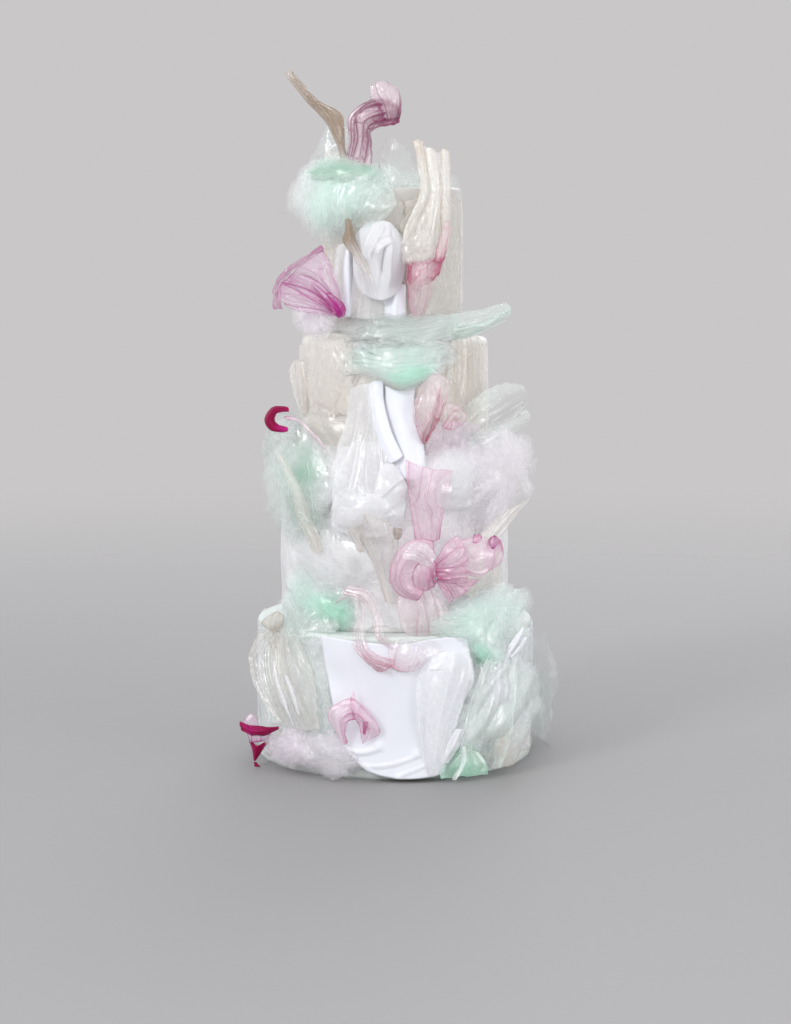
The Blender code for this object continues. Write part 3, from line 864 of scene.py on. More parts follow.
# %% The paints of this cake
paints = {
    "white_fondant": fondant("rolled_white_fondant", "#E0E1E7", "#DADBE1", 1.2, 0.10),
    # Painted shade: the white fondant again, darker and less blue for the shade on the rose.
    "rose_fondant_painted_shade": fondant("modelled_white_fondant_painted_shade", "#D6D6D9", "#CCCBCC", 1.2, 0.08),
    # Painted shade and painted light: the icings under the paper are one icing in three tones. The top
    # tier's is darker, painted shade for its shaded wall, and the lower tiers' are lighter, so that more
    # light comes back through the sheets over them.
    "ivory_fondant": fondant("ivory_fondant_under_paper_painted_shade", "#C3C0BC", "#BAB6B1", 4.5, 0.6),
    "cream_fondant_painted_lighter": fondant("cream_fondant_under_paper_painted_lighter", "#DEDCDA", "#D4D2D0", 4.5, 0.6),
    "pale_fondant_painted_lighter": fondant("pale_green_fondant_under_paper_painted_lighter", "#D0D6D2", "#C8CFCA", 4.5, 0.6),
    "white_wafer": wafer_paper("white_wafer_paper", "#FEFEFF", "#F8F7FB", 0.62, 0.88),
    "satin_wafer": wafer_paper(
        "satin_white_wafer_paper", "#FFFFFF", "#F8F8FB", 0.60, 0.88, glow=0.5, ridge_bump_and_painted_highlight_strength=0.03
    ),
    "cream_wafer": wafer_paper("cream_wafer_paper", "#F8F5F0", "#DCCFBE", 0.47, 0.73, lines=0.5),
    "taupe_wafer": wafer_paper(
        "taupe_wafer_paper", "#F6F0EA", "#9C8874", 0.34, 0.90, lines=0.5, ridge_bump_and_painted_highlight_strength=0.04
    ),
    "mint_wafer": wafer_paper("mint_wafer_paper", "#F8FDFB", "#CAFDE8", 0.27, 0.74, lines=0.1),
    "sage_wafer": wafer_paper("grey_green_wafer_paper", "#F2F8F5", "#C0DACC", 0.24, 0.56, lines=0.1),
    "moss_wafer": wafer_paper("moss_green_wafer_paper", "#E6F1EB", "#94C6AC", 0.24, 0.64, lines=0.1),
    "blush_wafer": wafer_paper(
        "blush_wafer_paper", "#FEF2F5", "#C05C7E", 0.36, 0.78, lines=0.5, ridge_bump_and_painted_highlight_strength=0.08
    ),
    "rose_wafer": wafer_paper(
        "rose_wafer_paper", "#FFE6F2", "#BE568F", 0.42, 0.82, lines=0.45, ridge_bump_and_painted_highlight_strength=0.07
    ),
    "old_rose_wafer": wafer_paper(
        "old_rose_wafer_paper", "#F0D6DF", "#7E2C55", 0.40, 0.90, lines=0.6, ridge_bump_and_painted_highlight_strength=0.05
    ),
    "magenta_wafer": wafer_paper(
        "magenta_wafer_paper", "#D01690", "#900040", 0.96, 1.0, gloss=0.1, glow=0.3, rough=0.45,
        index=1.3,
    ),
    "orchid_wafer": wafer_paper("orchid_wafer_paper", "#F8E0F1", "#B4168A", 0.36, 0.90, lines=0.6),
    "lilac_tulle": wafer_paper(
        "lilac_wafer_lace", "#F8F4F8", "#EEDFEB", 0.40, 0.60, gloss=0.4, rough=0.5, lines=0.1
    ),
    "clear_film": wafer_paper(
        "clear_sugar_film", "#FEFFFF", "#C8FBE0", 0.47, 0.68, gloss=1.2, rough=0.2, lines=0.1
    ),
}
print(len(paints), "paints")


# %% Finishing a piece
def finish_piece(node, slot, *meshes, thickness=PAPER, paint=None, extra=False):
    """Puts meshes together as the piece that stands for a node, with its thickness and paint.
    An extra piece stands for no node."""
    pieces = []
    for mesh in meshes:
        if not mesh.materials:
            mesh.materials.append(paints[paint or slot])
        piece = bpy.data.objects.new(node + "_look", mesh)
        bpy.context.scene.collection.objects.link(piece)
        pieces.append(piece)
    piece = pieces[0]
    if len(pieces) > 1:
        with bpy.context.temp_override(
            active_object=piece, selected_objects=pieces, selected_editable_objects=pieces
        ):
            bpy.ops.object.join()
    if thickness:
        wall = piece.modifiers.new("wall", "SOLIDIFY")
        wall.thickness = thickness * MM
        wall.offset = 0.0
    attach(piece, "root")
    if not extra:
        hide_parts(node)
    return piece


# %% [markdown]
# ## The four iced tiers
#
# A tier is a turned shape with a slightly rounded top edge. Its wall is never true: the icing
# swells by a millimetre here and there. A finer turned profile than the solid's gives a smooth
# outline, and a slow swell keeps it from looking machined.

# %% Tiers
RIM_ROUNDING = 4.0
RIM_STEPS = 6
TURN_STEPS = 144
WALL_STEPS = 40


def turned_tier(tier):
    radius, foot, top = tier_radius[tier], tier_foot[tier], tier_top[tier]
    foot += 0.3 if tier > 1 else 0.0
    profile = [(0.0, top), (radius * 0.5, top)]
    for step in range(RIM_STEPS + 1):
        bend = math.radians(90.0 * step / RIM_STEPS)
        profile.append(
            (radius - RIM_ROUNDING * (1 - math.sin(bend)), top - RIM_ROUNDING * (1 - math.cos(bend)))
        )
    for step in range(1, WALL_STEPS + 1):
        profile.append((radius, top - RIM_ROUNDING + (foot - top + RIM_ROUNDING) * step / WALL_STEPS))
    profile.append((0.0, foot))
    shape = bmesh.new()
    points = [shape.verts.new((reach * MM, 0.0, height * MM)) for reach, height in profile]
    for first, second in zip(points, points[1:]):
        shape.edges.new((first, second))
    bmesh.ops.spin(
        shape,
        geom=shape.verts[:] + shape.edges[:],
        cent=(0, 0, 0),
        axis=(0, 0, 1),
        angle=math.tau,
        steps=TURN_STEPS,
        use_merge=True,
    )
    bmesh.ops.remove_doubles(shape, verts=shape.verts[:], dist=0.01 * MM)
    bmesh.ops.recalc_face_normals(shape, faces=shape.faces[:])
    mesh = bpy.data.meshes.new(f"tier_{tier}")
    shape.to_mesh(mesh)
    shape.free()
    flat = np.empty(len(mesh.vertices) * 3)
    mesh.vertices.foreach_get("co", flat)
    points = flat.reshape(-1, 3) / MM
    turn = np.arctan2(points[:, 0], -points[:, 1])
    swell = ripples(turn * radius, points[:, 2], 35.0, tier) * 0.5
    swell *= (np.hypot(points[:, 0], points[:, 1]) > radius * 0.9) & (points[:, 2] < top - 8)
    swell = np.minimum(swell, 0.0)
    points[:, :2] *= (1 + swell / radius)[:, None]
    mesh.vertices.foreach_set("co", (points * MM).ravel())
    mesh.polygons.foreach_set("use_smooth", [True] * len(mesh.polygons))
    mesh.update()
    return mesh


# Each tier's icing tone is painted shade or painted light, not a different icing: darker on the top tier,
# lighter below.
TIER_PAINTS = {1: "pale_fondant_painted_lighter", 2: "cream_fondant_painted_lighter", 3: "cream_fondant_painted_lighter", 4: "ivory_fondant"}
for tier in TIERS:
    finish_piece(
        f"tier_{tier}",
        "white_fondant" if tier == 1 else "ivory_fondant",
        turned_tier(tier),
        thickness=0,
        paint=TIER_PAINTS[tier],
    )
print("tiers", TIERS)

# %% [markdown]
# Over the icing goes a first wrap of sheer wafer paper, wetted so that it clings and wrinkles.
# It hardly shows by itself, but it takes the flatness off the walls between the big pieces.


# %% Sheer wraps
WRAP_SHEETS = 5
WRAP_OVERLAP = 1.08


def sheer_wrap(tier, low, high, slot, paint):
    """Overlapping sheets round a tier, from low to high on its wall."""
    sheets = []
    arc = 360 / WRAP_SHEETS
    wide = math.radians(arc) * tier_radius[tier] * WRAP_OVERLAP
    for number in range(WRAP_SHEETS):
        angle = arc * (number + 0.4 * tier)
        path = ((angle, low, 1.4), (angle, (low + high) / 2, 1.8), (angle, high, 1.4))
        sheets.append(
            lay_sheet(
                f"wrap_{tier}_{number}", tier, path, wide, roll=arc * WRAP_OVERLAP, crush=0.09,
                ruffle=0.8, fray=4.0, corner=0.05, dye=0.2, grain=2.7,
            )
        )
    finish_piece(f"sheer_wrap_{tier}", slot, *sheets, paint=paint, extra=True)


sheer_wrap(4, 6, 142, "cream_wafer", "cream_wafer")
sheer_wrap(3, 5, 138, "cream_wafer", "cream_wafer")
sheer_wrap(2, 5, 139, "clear_film", "white_wafer")
sheer_wrap(1, 6, 137, "mint_wafer", "white_wafer")
print("wraps")


# %% Short ways to lay one sheet or one heap
def dress(node, slot, tier, path, widths, thickness=PAPER, **how):
    finish_piece(node, slot, lay_sheet(node, tier, path, widths, **how), thickness=thickness)


def dress_net(node, slot, *rows, thickness=PAPER, **how):
    finish_piece(node, slot, lay_net(node, *rows, **how), thickness=thickness)


def heap(node, slot, tier, place, span, **how):
    finish_piece(node, slot, heap_on_tier(node, tier, place, span, **how))


def heap_net(node, slot, deep, *rows, **how):
    finish_piece(node, slot, heap_on_net(node, deep, *rows, **how))


SMOOTH = {"crush": 0.0, "fray": 0.5, "ruffle": 1.0, "dye": 0}
SMALL = {"sizes": (16.0, 7.0, 3.5), "grain": 1.0, "fray": 1.2, "ruffle": 1.2}
FINE = {**SMALL, "grain": 0.75}
SLIM = {**SMALL, "fray": 0.4, "ruffle": 0.4}
VEIN = (1.2, 0.8)

# %% [markdown]
# ## The top tier
#
# From the left: a twisted taupe stick and a curled rose petal stand up out of a mint cloud,
# a magenta-edged fan spreads to the left, a white rose of folded fondant sits in the middle,
# and a tall cream sail with two pipe folds closes the right. Sticks and tubes are sheets rolled
# far round their length.

# %% Top tier: sticks and petal
finish_piece(
    "taupe_stick_top", "taupe_wafer",
    lay_net(
        "stick_belly",
        ((-55, 605, 46), (-50, 607, 52), (-46, 606, 46)),
        ((-57, 622, 46), (-53, 625, 53), (-50, 624, 46)),
        ((-66, 642, 45), (-60, 647, 54), (-51, 643, 46)),
        ((-75, 655, 42), (-69, 661, 52), (-55, 658, 44)),
        ((-87, 668, 40), (-82, 671, 48), (-76, 670, 42)),
        ((-97, 680, 38), (-93, 683, 44), (-89, 685, 40)),
        ((-106, 691, 38), (-103, 694, 41), (-100, 697, 38)),
        ((-110, 697, 37), (-108, 699, 38), (-106, 701, 37)),
        **SLIM, crush=0.16, corner=0.03, long_folds=4.0,
        dye=(0.5, 0.8, 1.0, 0.9, 0.9, 0.8, 0.7, 0.6),
        folds=((0.85, 0.1, 0.9, 0.6, *VEIN), (-0.6, 0, -0.4, 0.8, *VEIN), (0.1, 0.3, 0.2, 0.8, *VEIN)),
    ),
)
finish_piece(
    "rose_petal_top", "rose_wafer",
    lay_net(
        "rose_stem",
        ((-50, 603, 42), (-38, 603, 50), (-22, 604, 44)),
        ((-47, 628, 42), (-34, 631, 50), (-23, 630, 44)),
        ((-44, 654, 42), (-32, 652, 51), (-22, 640, 46)),
        ((-26, 670, 44), (-15, 660, 53), (-6, 646, 48)),
        ((-4, 672, 46), (4, 662, 53), (5, 650, 48)),
        **SMALL, corner=0.03, crush=0.22, long_folds=3.0, dye=(0.2, 0.6, 0.5, 0.8, 0.9),
        dye_across=(0.5, 1.1, 0.7, 1.2, 0.9),
        folds=((-0.8, 0, -0.7, 1, 1.2, 0.9), (-0.3, 0, -0.4, 1, 2, 1.0), (0.1, 0, 0.2, 1, 2, 1.0),
               (0.5, 0.0, 0.5, 1, 2, 1.0), (0.9, 0.0, 0.9, 1, 1.5, 0.9)),
    ),
    lay_net(
        "rose_curl",
        ((-16, 652, 50), (-4, 651, 54), (6, 652, 50)),
        ((-17, 664, 46), (-6, 668, 55), (7, 668, 50)),
        ((-24, 672, 45), (-10, 679, 55), (4, 679, 49)),
        ((-27, 684, 44), (-15, 689, 50), (-6, 688, 46)),
        **SMALL, corner=0.05, crush=0.14, dye=(0.7, 0.35, 0.1, 0.1), dye_across=(0.3, 0.5, 1.6),
        folds=((0.85, 0, 0.7, 1, 1, 0.9), (-0.2, 0, -0.3, 0.9, 1.5, 1.0)),
    ),
    paint="old_rose_wafer",
)
finish_piece(
    "taupe_stick_front", "taupe_wafer",
    lay_net(
        "front_stick",
        ((-34, 458, 88), (-22, 456, 92), (-9, 460, 88)),
        ((-31, 478, 90), (-22, 480, 95), (-12, 482, 92)),
        ((-34, 500, 92), (-28, 501, 98), (-22, 503, 94)),
        ((-41, 516, 92), (-37, 517, 97), (-31, 518, 93)),
        ((-50, 531, 90), (-44, 534, 96), (-38, 530, 91)),
        ((-48, 543, 88), (-45, 544, 91), (-41, 543, 88)),
        ((-49, 552, 86), (-46, 553, 88), (-43, 552, 86)),
        **SLIM, corner=0.03, crush=0.12, long_folds=4.0, dye=(0.0, 0.0, 0.05, 0.35, 0.95, 1.0, 0.9),
        thin=(1.6, 1.4, 0.8, 0.2, 0.0, 0.0, 0.0),
        folds=((-0.9, 0.1, -0.9, 1, 1, 0.9), (0.2, 0.2, 0.3, 1, 1.5, 0.9), (0.9, 0.25, 0.9, 0.8, 1, 0.9)),
    )
)
print("sticks and rose petal")

# %% Top tier: sails and tubes
dress_net(
    "clear_film_top", "clear_film",
    ((-28, 586, 8), (-6, 586, 14), (24, 586, 10)),
    ((-30, 608, 6), (-4, 612, 14), (24, 606, 8)),
    ((-24, 628, 4), (-4, 636, 10), (16, 626, 6)),
    crush=0.22, dye=0.05, corner=0.2, fray=3.5, thin=1.2, paint="moss_wafer",
)
finish_piece(
    "cream_sail_top", "cream_wafer",
    lay_net(
        "sail_sheet",
        ((8, 513, 76), (24, 510, 86), (38, 511, 84), (53, 516, 66)),
        ((12, 546, 76), (22, 546, 84), (40, 546, 82), (54, 546, 66)),
        ((27, 581, 76), (33, 581, 80), (44, 581, 77), (54, 581, 64)),
        ((25, 610, 74), (32, 610, 76), (42, 610, 73), (53, 610, 62)),
        ((21, 630, 70), (28, 626, 72), (40, 619, 70), (54, 620, 60)),
        crush=0.02, long_folds=5.0, corner=0.01, grain=1.2, dye=0.05, fray=0.8,
        folds=((0.0, 0.3, 0.1, 1, 3, 2.0), (0.5, 0.1, 0.5, 1, 2, 1.5)), soft=0.8,
    ),
    lay_net(
        "left_pipe",
        ((6, 528, 82), (12, 527, 88), (17, 530, 83)),
        ((16, 552, 82), (20, 553, 88), (25, 555, 82)),
        ((26, 580, 80), (30, 580, 85), (34, 580, 80)),
        ((24, 604, 77), (28, 604, 82), (32, 603, 77)),
        ((19, 630, 74), (23, 631, 77), (27, 629, 74)),
        **FINE, crush=0.02, corner=0.01, long_folds=5.0, dye=(0.1, 0.1, 0.15, 0.3, 0.9),
        folds=((-0.9, 0, -0.9, 1, *VEIN), (0.9, 0, 0.9, 1, *VEIN), (0.0, 0, 0.1, 1, 1.5, 1.0)),
    ),
    lay_net(
        "middle_pipe",
        ((24, 520, 86), (29, 519, 90), (35, 521, 86)),
        ((30, 552, 84), (35, 552, 88), (41, 552, 84)),
        ((36, 582, 80), (40, 582, 84), (44, 582, 80)),
        ((33, 604, 77), (37, 604, 80), (42, 604, 77)),
        ((31, 622, 74), (35, 624, 76), (40, 621, 73)),
        **FINE, crush=0.02, corner=0.01, long_folds=5.0, dye=(0.1, 0.0, 0.0, 0.1, 0.4), thin=0.6,
        folds=((-0.9, 0, -0.9, 1, *VEIN), (0.9, 0, 0.9, 1, *VEIN)),
    ),
    lay_net(
        "right_pipe",
        ((47, 522, 74), (51, 521, 78), (55, 522, 70)),
        ((46, 560, 75), (50, 560, 80), (55, 560, 70)),
        ((47, 590, 74), (50, 590, 78), (55, 590, 69)),
        ((46, 620, 70), (49, 622, 73), (54, 620, 67)),
        **FINE, crush=0.02, corner=0.01, long_folds=5.0, dye=(0.4, 0.3, 0.2, 0.5),
        folds=((-0.9, 0, -0.9, 1, *VEIN), (0.9, 0, 0.9, 1, *VEIN)),
    ),
    heap_on_net(
        "sail_crumple", 5,
        ((4, 508, 84), (24, 506, 98), (44, 509, 84)),
        ((6, 526, 84), (24, 527, 99), (46, 526, 84)),
        ((12, 544, 82), (24, 546, 92), (42, 544, 82)),
        layers=2, crush=0.36, sizes=(22.0, 11.0, 5.0), grain=1.1, dyed=((0, 0, 1, 0.1),),
    ),
)
finish_piece(
    "pink_tube_top", "blush_wafer",
    lay_net(
        "tube_body",
        ((15, 455, 79), (22, 453, 86), (30, 455, 79)),
        ((13, 480, 82), (24, 479, 97), (37, 481, 82)),
        ((11, 500, 84), (26, 499, 101), (44, 503, 82)),
        ((11, 511, 84), (28, 512, 101), (47, 516, 80)),
        **SMALL, corner=0.02, crush=0.08, dye=(0.45, 0.35, 0.3, 0.4), dye_across=(1.6, 1.0, 0.7, 1.0),
        folds=((-0.8, 0, -0.9, 1, 1, 0.9), (0.7, 0, 0.8, 1, 1, 0.9)),
    ),
    lay_net(
        "tube_collar",
        ((11, 488, 90), (24, 484, 108), (41, 493, 89)),
        ((10, 496, 92), (26, 495, 112), (45, 501, 90)),
        ((11, 504, 90), (28, 505, 106), (48, 511, 86)),
        ((12, 509, 86), (30, 511, 98), (48, 516, 80)),
        **SMALL, corner=0.03, crush=0.4, dye=(0.3, 0.7, 0.6, 1.0), dye_across=(1.6, 0.8, 0.7, 1.6),
        folds=((-0.9, 0, -0.9, 1, 1.5, 1.2), (0.9, 0, 0.9, 1, 1.5, 1.2), (-0.9, 0.1, 0.9, 0.2, 2, 1.0),
               (-0.9, 0.8, 0.9, 0.9, 2, 1.2)),
    ),
    lay_net(
        "tube_flare",
        ((38, 509, 90), (44, 510, 91), (49, 512, 84)),
        ((44, 527, 86), (49, 528, 87), (54, 530, 78)),
        ((51, 550, 80), (53, 551, 80), (55, 550, 74)),
        **SMALL, crush=0.15, dye=(0.8, 0.3, 0.2), folds=((-0.8, 0, -0.7, 1, *VEIN), (0.3, 0, 0.4, 1, *VEIN)),
    ),
)
finish_piece(
    "orchid_fan", "orchid_wafer",
    lay_net(
        "fan_sheet",
        ((-50, 462, 72), (-53, 461, 73), (-55, 459, 73), (-56, 457, 73), (-55, 455, 72)),
        ((-54, 482, 78), (-62, 482, 85), (-70, 475, 81), (-74, 468, 84), (-70, 458, 78)),
        ((-61, 505, 80), (-76, 500, 93), (-89, 489, 88), (-97, 476, 90), (-88, 460, 82)),
        ((-70, 524, 80), (-92, 508, 97), (-106, 495, 96), (-117, 480, 92), (-108, 466, 84)),
        **SMALL, corner=0.03, crush=0.14, long_folds=6.0, dye=(1.0, 0.6, 0.3, 0.4),
        dye_across=(0.8, 0.6, 1.3, 1.0, 0.5),
        folds=(
            (-0.97, 0.1, -0.97, 1, 1.5, 1.2), (-0.3, 0.0, -0.2, 0.75, 3.5, 1.6),
            (0.05, 0.05, 0.15, 1, 2.5, 1.6), (0.45, 0.3, 0.25, 0.9, 2, 1.0),
            (0.8, 0.05, 0.9, 1, 2.5, 1.3),
        ),
    ),
    lay_net(
        "fan_rim",
        ((-69, 523, 83), (-71, 525, 86), (-73, 528, 84)),
        ((-88, 510, 96), (-90, 512, 101), (-91, 514, 97)),
        ((-105, 497, 98), (-107, 500, 104), (-109, 502, 99)),
        ((-115, 482, 95), (-117, 484, 100), (-119, 485, 95)),
        ((-111, 463, 88), (-114, 465, 92), (-117, 464, 88)),
        **SMALL, crush=0.35, corner=0.02, thin=0.5,
        dye=(0.9, 0.7, 0.9, 0.6, 0.7), dye_across=(0.8, 1.0, 1.3),
        folds=((0.2, 0, 0.0, 1, 2, 1.0),),
    ),
    lay_net(
        "fan_heart",
        ((-84, 488, 88), (-80, 490, 90), (-76, 491, 88)),
        ((-71, 474, 88), (-65, 477, 91), (-60, 478, 88)),
        ((-62, 462, 88), (-56, 465, 91), (-50, 468, 87)),
        ((-58, 454, 84), (-54, 455, 86), (-49, 457, 83)),
        **SMALL, crush=0.30, corner=0.05, long_folds=3.0, dye=(0.1, 0.55, 0.9, 1.0),
        folds=((-0.3, 0, 0.1, 1, 2, 1.2),),
    ),
)
finish_piece(
    "sage_shelf_leaf", "sage_wafer",
    heap_on_net(
        "ledge_band", 8,
        ((-66, 432, 74), (-25, 428, 99), (15, 428, 104), (50, 430, 89), (74, 434, 70)),
        ((-64, 443, 70), (-25, 445, 92), (15, 446, 97), (50, 446, 84), (72, 446, 68)),
        ((-60, 456, 60), (-25, 459, 76), (15, 460, 80), (50, 460, 72), (66, 456, 60)),
        layers=4, dyed=((0, 0, 1.2, 0.5),), ragged=0.3,
    ),
    lay_net(
        "ledge_leaf",
        ((44, 430, 84), (52, 443, 88), (52, 458, 74)),
        ((84, 437, 74), (86, 450, 79), (86, 464, 72)),
        ((113, 452, 58), (118, 461, 62), (113, 471, 58)),
        crush=0.12, dye=(0.5, 0.5, 0.5), corner=0.05, grain=1.1, fray=1.0, ruffle=0.6,
        folds=((0, 0, 0.1, 1, 2, 1.2), (-0.9, 0.1, -0.8, 1, 1.5, 1.0), (0.5, 0.3, 0.9, 0.95, 2, 1.2)),
    ),
    lay_net(
        "ledge_tongue",
        ((56, 432, 82), (60, 438, 84), (62, 445, 80)),
        ((86, 440, 72), (88, 446, 74), (90, 451, 71)),
        ((112, 458, 58), (114, 461, 60), (115, 464, 58)),
        **SMALL, crush=0.10, dye=0.7, folds=((0.8, 0, 0.8, 1, *VEIN),),
    ),
)
print("sails, tube, fan and ledge")

# %% Top tier: clouds, rose and curtain
finish_piece(
    "mint_puff_top", "mint_wafer",
    heap_on_net(
        "cloud", 22,
        ((-110, 534, 20), (-82, 524, 40), (-56, 527, 58), (-30, 545, 74)),
        ((-112, 566, 14), (-82, 566, 44), (-50, 566, 70), (-8, 560, 82)),
        ((-104, 596, 8), (-76, 600, 34), (-46, 600, 58), (-8, 592, 68)),
        ((-94, 612, 0), (-72, 616, 16), (-50, 614, 34), (-22, 604, 48)),
        layers=4, dyed=((0.1, -0.3, 1.0, 0.42), (0.3, 0.2, 0.6, 0.2)),
    ),
    heap_on_net(
        "haze", 12,
        ((-88, 596, 10), (-56, 604, 22), (-24, 606, 22)),
        ((-88, 620, 6), (-56, 628, 18), (-26, 626, 18)),
        ((-72, 644, 4), (-58, 650, 10), (-40, 640, 12)),
        layers=2, dyed=((0, 0, 1, 0.0),), patch=0.8, paint="moss_wafer", thin=0.6,
    ),
    heap_on_net(
        "band", 7,
        ((-92, 588, 50), (-52, 589, 78), (-4, 584, 84)),
        ((-93, 600, 44), (-52, 601, 72), (-4, 596, 80)),
        ((-88, 612, 34), (-52, 612, 58), (-6, 606, 68)),
        layers=3, dyed=((-0.4, 0, 1.0, 1.0), (0.7, 0, 0.7, 0.9)), paint="moss_wafer",
    ),
)
dress_net(
    "mint_film_front", "mint_wafer",
    ((-52, 544, 66), (-28, 546, 82), (-6, 552, 84)),
    ((-54, 571, 66), (-26, 571, 84), (0, 571, 84)),
    ((-50, 597, 56), (-24, 598, 70), (-2, 592, 70)),
    crush=0.2, dye=(0.15, 0.2, 0.4), fray=4.0, corner=0.16, thin=0.8, folds=((-0.4, 0.1, 0.2, 0.9, 2, 1.5),),
)
heap_net(
    "lilac_tulle_left", "lilac_tulle", 14,
    ((-104, 436, 40), (-82, 434, 62), (-56, 436, 74)),
    ((-104, 455, 38), (-82, 455, 60), (-58, 455, 72)),
    ((-96, 472, 38), (-80, 474, 54), (-62, 470, 66)),
    layers=4, sizes=(14.0, 7.0, 3.5), dyed=((0, 0, 1, 0.35),), grain=1.3,
)
# The rose's fondant is the white fondant painted darker and warmer, as painted shade.
finish_piece(
    "white_rose", "white_fondant",
    lay_net(
        "rose_body",
        ((-38, 482, 76), (-24, 475, 88), (-8, 473, 92), (8, 482, 82)),
        ((-41, 506, 80), (-25, 506, 94), (-8, 506, 98), (11, 506, 84)),
        ((-40, 530, 80), (-24, 530, 96), (-7, 530, 99), (10, 525, 84)),
        ((-34, 546, 74), (-22, 551, 82), (-6, 550, 84), (7, 539, 76)),
        soft=0.6, **SMOOTH, grain=1.2,
        folds=(
            (0.20, 0.32, 0.26, 0.54, -4.0, 2.4), (-0.04, 0.18, 0.0, 0.52, 2.6, 2.2),
            (0.0, 0.54, 0.38, 0.66, 2.6, 2.2), (0.48, 0.22, 0.46, 0.62, 2.6, 2.0),
            (-0.34, 0.46, 0.14, 0.84, 3.0, 2.0), (-0.66, 0.28, -0.24, 0.90, 2.4, 2.6),
            (0.05, 0.84, 0.66, 0.62, 2.2, 2.4), (-0.46, 0.32, 0.35, 0.06, 2.6, 2.2),
            (0.85, 0.42, 0.45, 0.06, 2.6, 2.0), (0.74, 0.80, 0.84, 0.3, 2.2, 2.0),
            (-0.05, 0.70, 0.5, 0.80, -1.8, 2.0), (-0.8, 0.05, -0.7, 0.5, 1.6, 2.4),
        ),
    ),
    thickness=1.0,
    paint="rose_fondant_painted_shade",
)
finish_piece(
    "white_curtain_top", "white_fondant",
    lay_net(
        "curtain_left",
        ((-64, 455, 50), (-54, 454, 62), (-44, 455, 68)),
        ((-63, 490, 46), (-53, 490, 60), (-44, 490, 67)),
        ((-60, 524, 44), (-51, 528, 58), (-43, 526, 66)),
        paint="satin_wafer", crush=0.02, dye=0.2, grain=1.1, long_folds=5.0, fray=1.0, corner=0.02,
        folds=((-0.5, 0, -0.4, 1, 2, 2.5), (0.4, 0, 0.4, 1, 2, 2.5)),
    ),
    lay_net(
        "curtain_fold",
        ((-52, 456, 66), (-47, 455, 71), (-42, 456, 68)),
        ((-51, 488, 66), (-46, 488, 72), (-41, 488, 68)),
        ((-50, 522, 64), (-46, 523, 69), (-42, 522, 66)),
        soft=0.3, corner=0.02, **SMOOTH,
    ),
    lay_net(
        "curtain_middle",
        ((-47, 455, 68), (-26, 454, 79), (-8, 455, 82)),
        ((-47, 484, 67), (-26, 484, 78), (-8, 484, 82)),
        ((-46, 530, 62), (-26, 524, 74), (-10, 506, 79)),
        paint="satin_wafer", crush=0.02, dye=0.2, grain=1.1, long_folds=5.0, fray=1.0, corner=0.02,
        folds=((-0.5, 0, -0.3, 1, 1.5, 1.2), (0.3, 0, 0.0, 1, 1.5, 1.2)),
    ),
    lay_net(
        "curtain_right",
        ((-10, 455, 82), (1, 454, 85), (12, 455, 79)),
        ((-10, 470, 82), (1, 470, 85), (12, 470, 79)),
        ((-8, 488, 80), (1, 490, 83), (11, 488, 78)),
        soft=0.3, corner=0.02, **SMOOTH, folds=((-0.3, 0, -0.2, 1, 1.5, 2.0),),
    ),
    thickness=1.0,
)
print("top tier dressed")

# %% [markdown]
# ## The third tier
#
# A mint cloud hangs over the top edge. Below it a drape of rolled fondant falls in deep folds
# and flares at its foot, cream paper covers the wall on both sides, and a pink paper flame and
# a magenta curl give the two spots of colour.

# %% Third tier
heap_net(
    "mint_puff_middle", "mint_wafer", 13,
    ((-54, 398, 84), (-20, 392, 101), (12, 380, 106), (40, 392, 98), (60, 408, 82)),
    ((-66, 416, 76), (-30, 414, 98), (5, 412, 105), (40, 416, 97), (64, 418, 78)),
    ((-62, 435, 72), (-30, 438, 89), (5, 439, 95), (40, 438, 89), (62, 435, 72)),
    layers=5, dyed=((0.1, -0.4, 0.5, 1.0), (-0.1, 0.1, 0.9, 0.4)),
)
dress_net(
    "cream_panel_left", "cream_wafer",
    ((-84, 358, 48), (-68, 356, 73), (-46, 358, 88)),
    ((-88, 386, 46), (-68, 386, 73), (-42, 386, 90)),
    ((-90, 414, 42), (-68, 414, 72), (-42, 412, 89)),
    ((-92, 438, 34), (-68, 440, 66), (-42, 438, 84)),
    crush=0.07, dye=(0.3, 0.1, 0.1, 0.3), corner=0.02,
    folds=((-0.85, 0, -0.9, 1, 1.5, 1.2), (0.3, 0.1, 0.7, 0.6, 1.5, 1.0)),
)
dress_net(
    "cream_panel_far_left", "cream_wafer",
    ((-102, 354, 10), (-92, 352, 28), (-86, 354, 45)),
    ((-108, 382, 6), (-96, 382, 26), (-87, 382, 42)),
    ((-109, 407, 2), (-98, 410, 20), (-88, 408, 36)),
    crush=0.10, long_folds=3.0, dye=0.25, folds=((0.0, 0, -0.2, 1, 2, 1.2), (0.5, 0, 0.4, 1, 2, 1.2)),
)
dress_net(
    "cream_panel_right", "cream_wafer",
    ((50, 352, 84), (70, 350, 70), (86, 354, 46)),
    ((52, 394, 84), (72, 394, 70), (90, 394, 42)),
    ((54, 436, 79), (70, 438, 66), (88, 436, 42)),
    crush=0.08, long_folds=4.0, dye=0.25,
    folds=(
        (-0.5, 0, -0.6, 1, 2.5, 1.6), (-0.1, 0, 0.0, 1, 2.5, 1.6), (0.4, 0, 0.3, 1, 2.5, 1.6),
        (0.8, 0, 0.8, 1, 2, 1.2),
    ),
)
